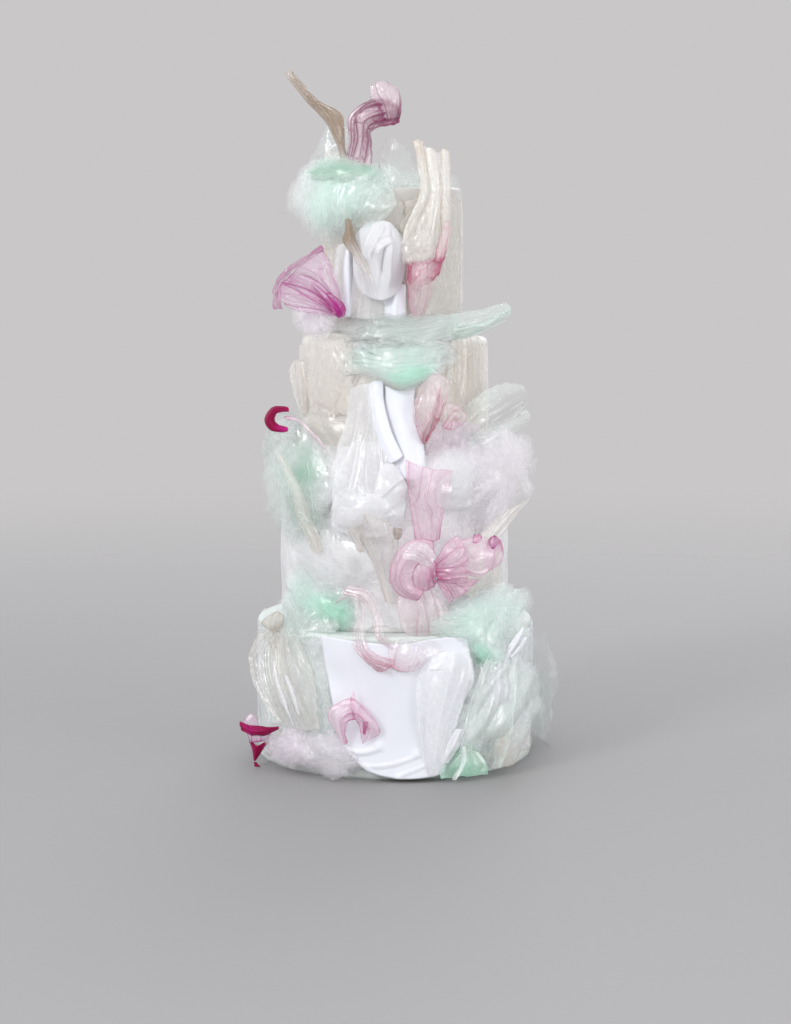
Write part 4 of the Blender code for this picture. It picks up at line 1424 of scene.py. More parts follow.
finish_piece(
    "white_drape_middle", "white_fondant",
    lay_net(
        "drape_right",
        ((3, 300, 118), (18, 297, 121), (33, 302, 114)),
        ((-3, 335, 108), (13, 335, 112), (28, 335, 106)),
        ((-9, 362, 101), (6, 362, 105), (20, 362, 101)),
        ((-10, 390, 98), (4, 384, 101), (20, 388, 97)),
        soft=0.6, corner=0.02, **SMOOTH, folds=((0.6, 0, 0.7, 0.6, 1.5, 4.0),),
    ),
    lay_net(
        "drape_ridge",
        ((-6, 312, 117), (2, 316, 121), (9, 320, 118)),
        ((-17, 338, 109), (-10, 341, 114), (-3, 344, 111)),
        ((-24, 365, 102), (-17, 367, 107), (-10, 369, 104)),
        ((-26, 391, 97), (-19, 394, 101), (-11, 394, 99)),
        soft=0.4, corner=0.02, **SMOOTH,
    ),
    lay_net(
        "drape_left",
        ((-66, 290, 104), (-46, 283, 116), (-20, 282, 122), (4, 298, 120)),
        ((-60, 316, 98), (-42, 314, 110), (-20, 313, 116), (-4, 322, 113)),
        ((-50, 346, 93), (-35, 347, 103), (-22, 349, 107), (-10, 353, 106)),
        ((-44, 386, 89), (-32, 390, 97), (-22, 392, 101), (-14, 392, 100)),
        paint="satin_wafer", crush=0.0, dye=0.5, grain=1.4, corner=0.03, fray=1.5,
        soft=1.6, thin=(0.4, 0.3, 0.2, 0.1),
        folds=(
            (-0.30, 0.06, 0.25, 0.95, 2.4, 3.0), (-0.75, 0.0, -0.35, 0.8, 2.4, 3.4),
            (0.35, 0.35, 0.6, 1, 2.0, 2.4), (0.0, 0.05, 0.9, 0.35, 2.0, 3.4),
        ),
    ),
    thickness=1.2,
)
finish_piece(
    "pink_paper_middle", "blush_wafer",
    lay_net(
        "flame",
        ((27, 334, 112), (29, 332, 113), (31, 334, 112)),
        ((21, 352, 112), (30, 350, 120), (42, 352, 110)),
        ((20, 374, 110), (35, 375, 121), (50, 372, 108)),
        ((28, 393, 104), (40, 400, 110), (53, 396, 104)),
        **SMALL, crush=0.26, corner=0.04, dye=(0.8, 0.25, 0.12, 0.1), dye_across=(1.1, 0.8, 1.2),
        folds=(
            (-0.2, 0, 0.5, 0.85, 3, 1.3), (-0.9, 0, -0.6, 0.7, 2, 1.0), (-0.3, 0.1, 0.3, 0.55, 2, 1.0),
            (0.8, 0.3, 0.9, 0.8, 2, 1.0),
        ),
    ),
    lay_net(
        "flame_heart",
        ((30, 336, 116), (31, 335, 118), (33, 337, 116)),
        ((38, 360, 117), (42, 362, 122), (46, 360, 116)),
        ((42, 384, 112), (45, 386, 116), (48, 383, 111)),
        **SMALL, crush=0.3, dye=(0.9, 0.5, 0.3),
    ),
    lay_net(
        "flame_flap",
        ((44, 350, 112), (53, 346, 113), (60, 346, 108)),
        ((48, 362, 110), (58, 362, 112), (70, 352, 98)),
        ((50, 374, 106), (60, 370, 106), (72, 360, 94)),
        **SMALL, crush=0.3, dye=(0.4, 0.15, 0.1), dye_across=(0.7, 1.2, 1.0),
        folds=((-0.6, 0, 0.4, 1, 2, 1.0),),
    ),
)
finish_piece(
    "magenta_curl_left", "magenta_wafer",
    lay_net(
        "curl",
        ((-105, 363, 94), (-105, 364, 97), (-105, 366, 94)),
        ((-112, 362, 94), (-111, 365, 98), (-111, 368, 94)),
        ((-117, 360, 94), (-119, 364, 99), (-122, 367, 94)),
        ((-118, 355, 94), (-124, 355, 100), (-130, 355, 94)),
        ((-116, 351, 94), (-120, 347, 99), (-124, 344, 94)),
        ((-111, 349, 94), (-112, 346, 98), (-113, 342, 94)),
        ((-106, 347, 94), (-106, 345, 96), (-106, 343, 94)),
        **FINE, crush=0.12, corner=0.03, dye=(0.6, 0.9, 1, 1, 0.9, 0.5, 0.2),
        folds=((0.3, 0, 0.3, 1, 1.5, 1.0),),
    ),
    lay_net(
        "curl_stem",
        ((-110, 360, 98), (-110, 358, 100), (-110, 356, 101)),
        ((-99, 358, 98), (-99, 356, 100), (-99, 354, 101)),
        ((-89, 352, 96), (-90, 350, 98), (-91, 348, 98)),
        ((-76, 338, 92), (-77, 336, 93), (-78, 334, 93)),
        ((-67, 326, 86), (-67, 324, 88), (-68, 322, 88)),
        paint="rose_wafer", **FINE, crush=0.0, dye=(0.7, 0.3, 0.1, 0.1, 0.0),
    ),
)
finish_piece(
    "sheer_leaf_right", "sage_wafer",
    lay_net(
        "leaf_upper",
        ((58, 318, 90), (60, 330, 92), (58, 344, 90)),
        ((86, 330, 76), (88, 352, 82), (80, 376, 76)),
        ((116, 350, 58), (120, 370, 62), (110, 388, 58)),
        ((134, 366, 46), (136, 374, 48), (130, 386, 46)),
        crush=0.10, dye=(0.5, 0.3, 0.1, 0.1), corner=0.04, fray=3.0, grain=1.2, thin=(0.8, 1.2, 1.6),
        folds=((-0.6, 0, -0.2, 0.8, 2, 1.5), (0.3, 0.1, 0.4, 1, 2, 1.2)),
    ),
    lay_net(
        "leaf_lower",
        ((58, 312, 92), (60, 322, 94), (60, 332, 92)),
        ((88, 318, 76), (92, 330, 81), (92, 344, 76)),
        ((118, 336, 56), (124, 346, 60), (124, 358, 56)),
        ((136, 344, 44), (138, 352, 46), (136, 362, 44)),
        crush=0.10, dye=0.15, corner=0.04, fray=3.0, grain=1.2, thin=(0.8, 1.2, 1.6),
        folds=((0.9, 0.0, 0.7, 0.9, 2.5, 1.4), (-0.2, 0.1, 0.0, 0.9, 2, 1.2)),
    ),
)
dress_net(
    "lilac_net_right", "lilac_tulle",
    ((28, 298, 106), (58, 296, 100), (88, 300, 80)),
    ((30, 324, 105), (60, 324, 97), (90, 324, 74)),
    ((36, 350, 102), (60, 353, 94), (84, 350, 72)),
    crush=0.2, sizes=(14.0, 7.0, 3.5), dye=0.9, grain=1.2,
)
print("third tier dressed")

# %% [markdown]
# Between the big pieces a decorator tucks loose sheer sheets, so that no bare ledge shows from
# the front. They stand for no solid of their own.

# %% Sheer filling between the pieces
def fill_gap(node, deep, paint, *rows, ragged=0.15, strength=0.1, **how):
    """A loose heap of three sheets that stands for no node."""
    dyed = ((0, 0, 1, strength),)
    mesh = heap_on_net(node, deep, *rows, layers=3, ragged=ragged, dyed=dyed, paint=paint, **how)
    finish_piece(node, "clear_film", mesh, extra=True)


fill_gap(
    "filling_ledge_right", 10, "satin_wafer",
    ((16, 262, 122), (60, 262, 112), (104, 262, 74)),
    ((14, 290, 124), (60, 290, 114), (108, 290, 70)),
    ((18, 326, 106), (58, 330, 96), (100, 330, 62)),
)
fill_gap(
    "filling_ledge_left", 10, "satin_wafer",
    ((-116, 256, 52), (-92, 256, 84), (-50, 256, 114)),
    ((-114, 292, 50), (-90, 292, 84), (-50, 292, 114)),
    ((-96, 340, 34), (-78, 340, 66), (-44, 340, 92)),
)
fill_gap(
    "filling_low_left", 10, "satin_wafer",
    ((-104, 176, 66), (-72, 172, 98), (-20, 174, 122)),
    ((-108, 210, 62), (-70, 210, 102), (-14, 212, 126)),
    ((-102, 250, 66), (-70, 250, 102), (-30, 250, 122)),
    crush=0.10,
)
fill_gap(
    "filling_wall_left", 8, "cream_wafer",
    ((-92, 300, 30), (-70, 300, 68), (-36, 300, 92)),
    ((-92, 336, 30), (-70, 336, 68), (-36, 336, 92)),
    ((-90, 368, 28), (-68, 370, 68), (-40, 368, 88)),
)
fill_gap(
    "filling_foot_left", 8, "sage_wafer",
    ((-140, 118, 40), (-104, 116, 102), (-60, 112, 132)),
    ((-140, 142, 26), (-102, 146, 92), (-56, 146, 122)),
    ((-116, 172, 16), (-86, 178, 78), (-50, 178, 108)),
    ragged=0.12, strength=0.3,
)
fill_gap(
    "filling_foot_right", 8, "mint_wafer",
    ((44, 116, 144), (90, 116, 120), (132, 116, 70)),
    ((40, 144, 132), (88, 144, 110), (136, 146, 54)),
    ((40, 172, 116), (80, 176, 96), (112, 178, 50)),
    strength=0.3,
)
print("sheer filling")

# %% [markdown]
# ## The second tier
#
# The rosette is the heart of the cake: a looped band, a petal and a cup of rose paper round a
# deep pink knot, with a pleated paper vase standing on it. Sheer film fills the sides.

# %% Second tier: left and middle
heap_net(
    "sage_film_left", "sage_wafer", 16,
    ((-122, 224, 60), (-95, 218, 86), (-62, 222, 110)),
    ((-134, 262, 48), (-98, 262, 84), (-58, 262, 112)),
    ((-136, 305, 42), (-98, 305, 80), (-60, 305, 106)),
    ((-120, 340, 42), (-98, 350, 64), (-74, 338, 84)),
    layers=3, crush=0.12, dyed=((0.3, 0.35, 0.5, 0.7), (0, 0, 1, 0.25)), paint="moss_wafer",
)
dress_net(
    "cream_spike_left", "cream_wafer",
    ((-82, 224, 108), (-77, 223, 111), (-71, 225, 110)),
    ((-94, 252, 108), (-87, 252, 115), (-80, 254, 110)),
    ((-106, 292, 104), (-101, 292, 110), (-96, 294, 106)),
    ((-120, 325, 98), (-118, 326, 101), (-116, 326, 99)),
    **FINE, crush=0.06, corner=0.02, long_folds=4.0, dye=(0.4, 0.3, 0.1, 0.0), thin=(0.9, 0.7, 0.3, 0.0),
    folds=((0.5, 0, 0.3, 1, 2, 1.2), (-0.3, 0, -0.3, 0.8, 2, 1.0)),
)
finish_piece(
    "white_folds_middle", "white_fondant",
    lay_net(
        "fold_sheet",
        ((-62, 244, 114), (-30, 240, 129), (8, 246, 123)),
        ((-64, 268, 114), (-28, 268, 132), (10, 268, 127)),
        ((-62, 294, 110), (-26, 294, 126), (8, 294, 122)),
        ((-56, 328, 99), (-24, 335, 111), (2, 328, 110)),
        crush=0.02, long_folds=2.0, soft=1.6, grain=1.3, dye=0.5, fray=2.0, corner=0.05, thin=0.3,
        folds=(
            (-0.6, 0.25, -0.35, 1, 2.6, 2.2), (-0.05, 0.35, 0.0, 1, 2.2, 1.8),
            (0.6, 0.3, 0.4, 0.95, 2.6, 2.2), (-0.85, 0.1, 0.7, 0.26, 2.4, 2.8),
        ),
    ),
    heap_on_net(
        "fold_cloud", 8,
        ((-64, 244, 116), (-30, 242, 131), (6, 246, 125)),
        ((-64, 266, 116), (-30, 268, 134), (8, 268, 128)),
        ((-58, 292, 112), (-30, 294, 130), (6, 292, 124)),
        layers=2, crush=0.10, dyed=((0, 0, 1, 0.1),), ragged=0.25,
    ),
    lay_net(
        "fold_arc",
        ((-64, 262, 118), (-40, 258, 131), (-16, 262, 131)),
        ((-62, 276, 118), (-40, 279, 135), (-16, 276, 134)),
        ((-58, 286, 112), (-40, 290, 125), (-20, 283, 125)),
        crush=0.06, dye=0.3, grain=1.2, soft=1.2, fray=1.5, thin=0.4,
        folds=((-0.9, 0.75, 0.9, 0.8, 2.5, 2.0),),
    ),
    lay_net(
        "fold_bright",
        ((-22, 276, 130), (-4, 272, 136), (12, 276, 127)),
        ((-20, 292, 128), (-4, 294, 135), (12, 290, 127)),
        ((-14, 312, 120), (-2, 314, 124), (8, 306, 119)),
        crush=0.08, dye=0.4, grain=1.2, soft=1.0, fray=1.5,
        folds=((-0.8, 0.1, 0.7, 0.7, 3, 2.4),),
    ),
    thickness=PAPER,
    paint="satin_wafer",
)
dress_net(
    "pink_vase", "rose_wafer",
    ((20, 238, 124), (32, 236, 133), (45, 239, 124)),
    ((17, 262, 124), (31, 262, 137), (48, 262, 123)),
    ((13, 284, 124), (31, 284, 139), (52, 285, 122)),
    ((11, 318, 122), (32, 310, 138), (58, 307, 120)),
    **FINE, crush=0.06, corner=0.01, dye=(0.34, 0.14, 0.10, 0.12), dye_across=(1.6, 1.0, 0.7, 1.0, 2.0),
    folds=(
        (-0.32, 0.69, -0.10, 1, *VEIN), (-0.6, 0.53, -0.32, 0.69, *VEIN), (0.0, 0.66, 0.3, 1, *VEIN),
        (0.27, 0.40, 0.0, 0.66, *VEIN), (0.23, 0, 0.27, 0.40, *VEIN), (0.27, 0.40, -1.0, 0.56, *VEIN),
        (-0.46, 0, -0.53, 0.42, *VEIN), (0.70, 0, 0.85, 0.8, *VEIN), (-0.9, 0, -0.9, 1, 1.2, 1.2),
        (0.97, 0, 0.97, 1, *VEIN),
    ),
)
finish_piece(
    "taupe_funnel", "taupe_wafer",
    lay_net(
        "funnel_body",
        ((-9, 176, 126), (-5, 175, 129), (0, 175, 130), (5, 177, 128)),
        ((-19, 210, 128), (-12, 210, 134), (-4, 210, 136), (2, 212, 130)),
        ((-34, 238, 126), (-22, 240, 140), (-6, 240, 142), (4, 240, 132)),
        ((-42, 256, 124), (-30, 266, 138), (-12, 260, 142), (6, 248, 132)),
        **SMALL, crush=0.10, corner=0.02, dye=(0.3, 0.15, 0.15, 0.4), dye_across=(1.8, 0.4, 0.25, 1.8),
        thin=0.65,
        folds=(
            (-0.97, 0.1, -0.97, 1, 1, 1.0), (-0.1, 0.45, -0.3, 0.95, 2, 1.3), (0.5, 0.3, 0.6, 0.8, 1.5, 1.0),
            (0.97, 0.4, 0.97, 1, 1, 1.0), (-0.7, 0.98, 0.4, 0.99, 1, 1.0),
        ),
    ),
    lay_net(
        "funnel_lip",
        ((0, 240, 134), (3, 240, 136), (6, 241, 133)),
        ((-1, 246, 136), (3, 246, 138), (7, 247, 134)),
        ((-2, 252, 136), (2, 251, 138), (7, 251, 134)),
        **SLIM, crush=0.1, dye=0.8, thin=0.3,
    ),
    lay_net(
        "funnel_wing",
        ((-36, 226, 126), (-33, 226, 128), (-30, 228, 127)),
        ((-43, 242, 126), (-38, 243, 130), (-32, 244, 128)),
        ((-47, 252, 124), (-41, 257, 128), (-34, 260, 126)),
        **SMALL, crush=0.12, dye=(0.3, 0.1, 0.1), folds=((-0.9, 0, -0.9, 1, *VEIN), (0.9, 0, 0.9, 1, *VEIN)),
    ),
)
print("second tier, left and middle")

# %% Second tier: rosette
finish_piece(
    "rosette_loop", "rose_wafer",
    lay_net(
        "loop_band",
        ((41, 222, 138), (40, 230, 144), (38, 238, 138)),
        ((32, 222, 142), (29, 232, 151), (25, 241, 142)),
        ((23, 218, 143), (16, 227, 152), (9, 234, 140)),
        ((18, 210, 143), (8, 214, 151), (-1, 218, 138)),
        ((17, 202, 143), (6, 201, 150), (-4, 199, 136)),
        ((21, 195, 142), (13, 190, 148), (4, 185, 136)),
        ((29, 191, 140), (26, 184, 144), (23, 178, 136)),
        **SMALL, crush=0.10, corner=0.02, dye=(0.5, 0.2, 0.2, 0.25, 0.3, 0.35, 0.5),
        folds=((-0.85, 0, -0.85, 1, *VEIN), (-0.1, 0.15, -0.05, 0.9, *VEIN), (0.55, 0.2, 0.5, 1, *VEIN),
               (0.95, 0, 0.95, 1, *VEIN)),
    ),
    lay_net(
        "loop_core",
        ((18, 193, 138), (29, 189, 141), (42, 193, 138)),
        ((16, 206, 142), (29, 206, 149), (43, 206, 142)),
        ((22, 220, 141), (32, 223, 145), (43, 220, 140)),
        **SMALL, crush=0.22, dye=(0.5, 0.7, 0.15), dye_across=(0.1, 0.7, 1.0),
        folds=((0.9, 0.1, 0.2, 0.95, 2, 1.2),),
    ),
    # Painted highlights: a thin white sheet laid over the loop, its folds standing for the white glints on
    # the glossy loop.
    lay_net(
        "loop_streaks",
        ((6, 224, 150), (10, 232, 152), (15, 238, 147)),
        ((21, 222, 155), (25, 230, 159), (30, 238, 152)),
        ((35, 214, 152), (38, 219, 154), (43, 225, 150)),
        paint="white_wafer", **SMALL, crush=0.14, dye=(0.05, 0.02, 0.3), thin=0.7,
        folds=((-0.6, 0, -0.6, 1, 2.2, 1.0), (-0.15, 0, -0.1, 1, 2.2, 1.0), (0.3, 0, 0.3, 1, 2.2, 1.0),
               (0.75, 0, 0.7, 1, 2.2, 1.0)),
    ),
)
finish_piece(
    "rosette_petal", "rose_wafer",
    lay_net(
        "petal_upper",
        ((38, 218, 140), (40, 213, 142), (42, 207, 141)),
        ((50, 236, 143), (56, 225, 150), (58, 212, 147)),
        ((60, 246, 136), (70, 232, 143), (72, 216, 141)),
        **SMALL, crush=0.18, corner=0.04, dye=(0.8, 0.3, 0.25),
        folds=((0.75, 0, 0.6, 0.95, 2, 1.1), (-0.1, 0.1, -0.1, 0.9, 1.5, 1.0)),
    ),
    lay_net(
        "petal_lower",
        ((39, 212, 142), (41, 206, 143), (42, 200, 142)),
        ((54, 214, 148), (57, 206, 151), (56, 198, 147)),
        ((68, 216, 143), (72, 206, 146), (72, 196, 140)),
        **SMALL, crush=0.18, corner=0.04, dye=(0.8, 0.35, 0.25),
        folds=((-0.4, 0, -0.3, 1, 2, 1.1), (0.6, 0, 0.4, 1, 2, 1.1)),
    ),
)
finish_piece(
    "rosette_cup", "rose_wafer",
    lay_net(
        "cup_side",
        ((60, 240, 130), (66, 224, 136), (64, 206, 134)),
        ((78, 242, 126), (84, 222, 134), (82, 202, 130)),
        ((92, 240, 119), (98, 224, 126), (96, 206, 122)),
        **SMALL, crush=0.12, corner=0.04, dye=(0.35, 0.08, 0.08), dye_across=(0.8, 0.4, 1.4),
        folds=((-0.8, 0.0, 0.0, 0.3, *VEIN), (0.9, 0, 0.95, 1, 1.2, 1.2)),
    ),
    lay_net(
        "cup_wedge",
        ((41, 200, 138), (46, 204, 142), (52, 208, 141)),
        ((47, 188, 139), (58, 195, 144), (68, 202, 139)),
        ((54, 174, 135), (66, 185, 139), (86, 199, 129)),
        **SMALL, crush=0.24, corner=0.03, dye=(0.8, 0.5, 0.4),
        folds=((-0.5, 0.1, -0.5, 0.95, 2, 1.0), (0.2, 0.1, 0.2, 0.95, 2, 1.0)),
    ),
    lay_net(
        "cup_tip_petal",
        ((89, 212, 122), (95, 208, 124), (104, 213, 118)),
        ((89, 224, 122), (98, 224, 127), (108, 224, 118)),
        ((92, 238, 118), (99, 241, 121), (105, 237, 116)),
        **SMALL, crush=0.16, dye=(0.25, 0.15, 1.3), dye_across=(1.0, 0.8, 1.2),
        folds=((0.1, 0, 0.0, 1, *VEIN), (0.9, 0, 0.9, 1, *VEIN)),
    ),
    lay_net(
        "cup_knot",
        ((94, 231, 124), (97, 230, 127), (101, 232, 122)),
        ((94, 235, 123), (98, 236, 126), (102, 236, 121)),
        ((95, 239, 120), (98, 240, 122), (101, 239, 119)),
        paint="orchid_wafer", **SMALL, crush=0.4, dye=0.55,
    ),
    lay_net(
        "cup_fleck",
        ((77, 236, 130), (80, 235, 131), (84, 237, 129)),
        ((77, 240, 129), (81, 241, 130), (85, 241, 127)),
        ((79, 244, 126), (81, 245, 127), (84, 244, 125)),
        **SMALL, crush=0.3, dye=0.7,
    ),
)
print("rosette")

# %% Second tier: right
heap_net(
    "sheer_puff_right", "lilac_tulle", 22,
    ((56, 242, 108), (88, 238, 94), (116, 244, 72)),
    ((54, 285, 108), (98, 285, 90), (138, 280, 54)),
    ((58, 318, 100), (100, 320, 80), (144, 318, 48)),
    ((66, 336, 88), (98, 342, 68), (132, 340, 46)),
    layers=4, crush=0.15, sizes=(44.0, 20.0, 9.0), dyed=((0, 0, 1, 0.1),), ragged=0.5,
)
heap_net(
    "mint_ruffle_left", "mint_wafer", 15,
    ((-110, 146, 68), (-80, 139, 96), (-36, 141, 124)),
    ((-116, 176, 58), (-82, 176, 92), (-38, 174, 124)),
    ((-102, 208, 60), (-76, 214, 88), (-46, 206, 111)),
    layers=5, dyed=((0.45, -0.4, 0.75, 0.95), (-0.2, 0.1, 0.9, 0.3)),
)
heap_net(
    "mint_film_right", "mint_wafer", 18,
    ((80, 104, 138), (105, 102, 118), (128, 112, 92), (140, 120, 70)),
    ((30, 146, 134), (74, 140, 128), (110, 140, 102), (140, 146, 64)),
    ((28, 160, 128), (74, 166, 116), (112, 172, 90), (144, 178, 56)),
    ((50, 178, 112), (84, 186, 98), (112, 192, 80), (146, 190, 44)),
    layers=4, crush=0.15, dyed=((-0.3, -0.7, 0.35, 1.3), (-0.5, 0.0, 0.8, 0.45), (0.2, 0.2, 0.9, 0.25)),
)
finish_piece(
    "cream_panel_low_right", "cream_wafer",
    lay_net(
        "low_panel",
        ((62, 178, 106), (86, 176, 86), (110, 180, 48)),
        ((62, 198, 106), (88, 198, 86), (112, 198, 46)),
        ((62, 214, 106), (86, 216, 86), (110, 214, 48)),
        crush=0.08, dye=0.2,
    ),
    lay_net(
        "low_wing",
        ((70, 214, 106), (88, 222, 98), (108, 236, 84)),
        ((80, 232, 102), (104, 246, 90), (128, 262, 70)),
        ((100, 256, 90), (122, 266, 78), (143, 280, 62)),
        crush=0.08, dye=0.25,
    ),
)
dress_net(
    "blush_sheet_middle", "blush_wafer",
    ((6, 143, 128), (30, 141, 133), (54, 146, 125)),
    ((4, 168, 129), (28, 168, 135), (52, 168, 125)),
    ((4, 190, 126), (26, 194, 132), (46, 188, 125)),
    crush=0.10, grain=1.2, dye=0.08,
    folds=((-0.3, 0, -0.2, 1, 1.5, 1.0), (0.2, 0.1, 0.1, 1, 1.5, 1.0), (0.6, 0, 0.5, 1, 1, 1.0)),
)
print("second tier dressed")

# %% [markdown]
# ## The bottom tier
#
# A broad panel of white fondant hangs from the ledge and creases where it meets the table.
# Two pink strands fall over it, cellophane with long bright folds closes the right side, and
# lace puffs with a magenta scrap sit on the table at the left.

# %% Bottom tier: swirl, panel and drape
finish_piece(
    "pink_swirl", "blush_wafer",
    lay_net(
        "strand_left",
        ((-61, 171, 120), (-59, 174, 122), (-57, 178, 120)),
        ((-45, 178, 126), (-41, 183, 130), (-37, 187, 127)),
        ((-40, 161, 134), (-35, 162, 139), (-29, 163, 134)),
        ((-42, 141, 140), (-36, 140, 147), (-29, 142, 142)),
        ((-36, 127, 148), (-28, 124, 155), (-19, 128, 150)),
        ((-16, 109, 151), (-6, 114, 156), (2, 121, 152)),
        **FINE, crush=0.16, corner=0.02, long_folds=4.0, dye=(0.3, 0.2, 0.1, 0.15, 0.3, 0.5),
        folds=((-0.7, 0, -0.6, 1, 2, 0.9), (0.0, 0, 0.1, 1, 2, 0.9), (0.7, 0, 0.6, 1, 2, 0.9)), thin=0.5,
    ),
    lay_net(
        "strand_right",
        ((-52, 184, 122), (-49, 188, 124), (-46, 192, 122)),
        ((-34, 178, 130), (-29, 183, 133), (-24, 187, 130)),
        ((-22, 161, 136), (-17, 162, 140), (-11, 164, 136)),
        ((-20, 143, 142), (-15, 142, 147), (-9, 144, 142)),
        ((-9, 136, 146), (-1, 132, 151), (8, 135, 147)),
        **FINE, crush=0.16, corner=0.02, long_folds=4.0, dye=(0.2, 0.1, 0.1, 0.15, 0.2),
        folds=((-0.7, 0, -0.6, 1, 2, 0.9), (0.5, 0, 0.5, 1, 2, 0.9)), thin=0.5,
    ),
)
dress_net(
    "blush_fold", "blush_wafer",
    ((-5, 113, 151), (16, 111, 154), (34, 118, 152)),
    ((-5, 127, 149), (20, 128, 154), (46, 124, 150)),
    ((-3, 141, 145), (20, 143, 148), (48, 139, 145)),
    crush=0.06, grain=1.2, fray=1.2, dye=(0.5, 0.08, 0.03), dye_across=(1.2, 0.5, 0.1), thin=(0.0, 0.4, 0.8),
    folds=((-0.9, 0.1, 0.2, 0.2, 1.5, 1.2), (-0.8, 0.2, -0.6, 1, 1.0, 1.0)),
)
dress_net(
    "white_panel_front", "white_fondant",
    ((-52, 36, 146), (-28, 12, 152), (4, 4, 157), (30, 5, 155), (48, 7, 150)),
    ((-56, 52, 142), (-28, 42, 148), (4, 38, 150), (34, 38, 148), (58, 42, 143)),
    ((-62, 80, 136), (-30, 76, 144), (4, 74, 148), (38, 74, 145), (68, 78, 137)),
    ((-68, 112, 130), (-34, 110, 143), (4, 108, 148), (40, 110, 144), (76, 108, 132)),
    ((-74, 144, 126), (-36, 139, 141), (4, 137, 148), (42, 143, 144), (72, 141, 130)),
    thickness=ICING, corner=0.01, soft=0.7, **SMOOTH,
    folds=(
        (-0.5, 0.04, 0.3, 0.16, 2.6, 5.0), (0.0, 0.02, 0.8, 0.14, 2.6, 4.0),
        (-0.7, 0.97, -0.1, 0.78, 2.5, 5.0), (-0.1, 0.78, 0.5, 0.86, 2, 4.0),
        (-0.85, 0.05, -0.3, 0.2, 2.8, 5.0),
    ),
)
finish_piece(
    "cream_drape_right", "cream_wafer",
    lay_net(
        "drape_pouch",
        ((31, 10, 155), (38, 7, 158), (46, 10, 155)),
        ((26, 36, 154), (39, 34, 160), (55, 40, 153)),
        ((21, 71, 154), (42, 72, 160), (67, 72, 147)),
        ((22, 103, 153), (48, 105, 158), (79, 101, 140)),
        ((36, 126, 151), (57, 132, 151), (78, 121, 137)),
        paint="satin_wafer", crush=0.02, long_folds=5.0, corner=0.01, dye=0.1, grain=1.2, fray=0.5, soft=0.8,
        thin=0.2, folds=(
            (-0.96, 0, -0.96, 1, 1.2, 1.0), (0.96, 0.1, 0.96, 1, 1.2, 1.0), (0.55, 0, 0.62, 0.8, 1.0, 1.6),
            (-0.45, 0, -0.35, 0.7, 0.8, 2.6), (0.1, 0.1, 0.15, 0.85, 0.8, 2.6),
        ),
    ),
    lay_net(
        "drape_flap",
        ((31, 114, 156), (44, 114, 159), (56, 113, 154)),
        ((40, 121, 154), (47, 122, 157), (54, 121, 153)),
        ((46, 128, 152), (50, 128, 154), (54, 128, 151)),
        paint="satin_wafer", crush=0.04, grain=1.0, dye=0.6, fray=0.5, ruffle=0.5, corner=0.02,
    ),
)
print("swirl, panel and drape")

# %% Bottom tier: right and left
finish_piece(
    "cellophane_right", "clear_film",
    heap_on_net(
        "cellophane_heap", 14,
        ((48, 4, 146), (78, 4, 132), (104, 6, 112), (124, 8, 92)),
        ((50, 44, 148), (84, 44, 134), (112, 44, 112), (142, 44, 70)),
        ((62, 88, 142), (92, 88, 128), (120, 88, 100), (146, 88, 56)),
        ((76, 130, 132), (100, 132, 118), (124, 136, 88), (144, 136, 46)),
        layers=3, crush=0.18, dyed=((-0.6, -0.8, 0.45, 1.2), (0, 0, 1.2, 0.2)),
    ),
    lay_net(
        "film_front",
        ((60, 6, 151), (84, 6, 142), (108, 8, 126)),
        ((66, 46, 149), (90, 46, 139), (116, 46, 120)),
        ((78, 92, 141), (98, 92, 132), (122, 92, 112)),
        ((94, 128, 128), (107, 130, 120), (124, 132, 104)),
        crush=0.08, long_folds=5.0, corner=0.05, grain=1.1, dye=(0.3, 0.15, 0.1, 0.1), fray=1.5, thin=0.8,
        folds=(
            (-0.9, 0, -0.9, 1, 3, 1.4), (-0.5, 0, -0.6, 1, 3, 1.2), (-0.1, 0.1, -0.1, 1, 3, 1.2),
            (0.3, 0, 0.4, 0.9, 3, 1.2), (0.9, 0, 0.9, 1, 3, 1.4),
        ),
    ),
    lay_net(
        "green_corner",
        ((44, 5, 156), (68, 4, 150), (94, 5, 142)),
        ((48, 16, 156), (66, 18, 152), (92, 16, 142)),
        ((62, 30, 152), (70, 32, 150), (84, 28, 144)),
        **SMALL, crush=0.16, corner=0.02, dye=(1.0, 0.8, 0.3), thin=(0.2, 0.5, 0.9),
        folds=((-0.9, 0.1, 0.9, 0.16, 2, 1.2),),
    ),
    lay_net(
        "cream_corner",
        ((98, 10, 132), (114, 8, 124), (132, 12, 100)),
        ((96, 28, 132), (114, 30, 124), (138, 30, 96)),
        ((102, 46, 128), (118, 50, 118), (136, 46, 92)),
        paint="cream_wafer", crush=0.16, grain=1.2, dye=0.3, fray=3.0, thin=0.5,
    ),
)
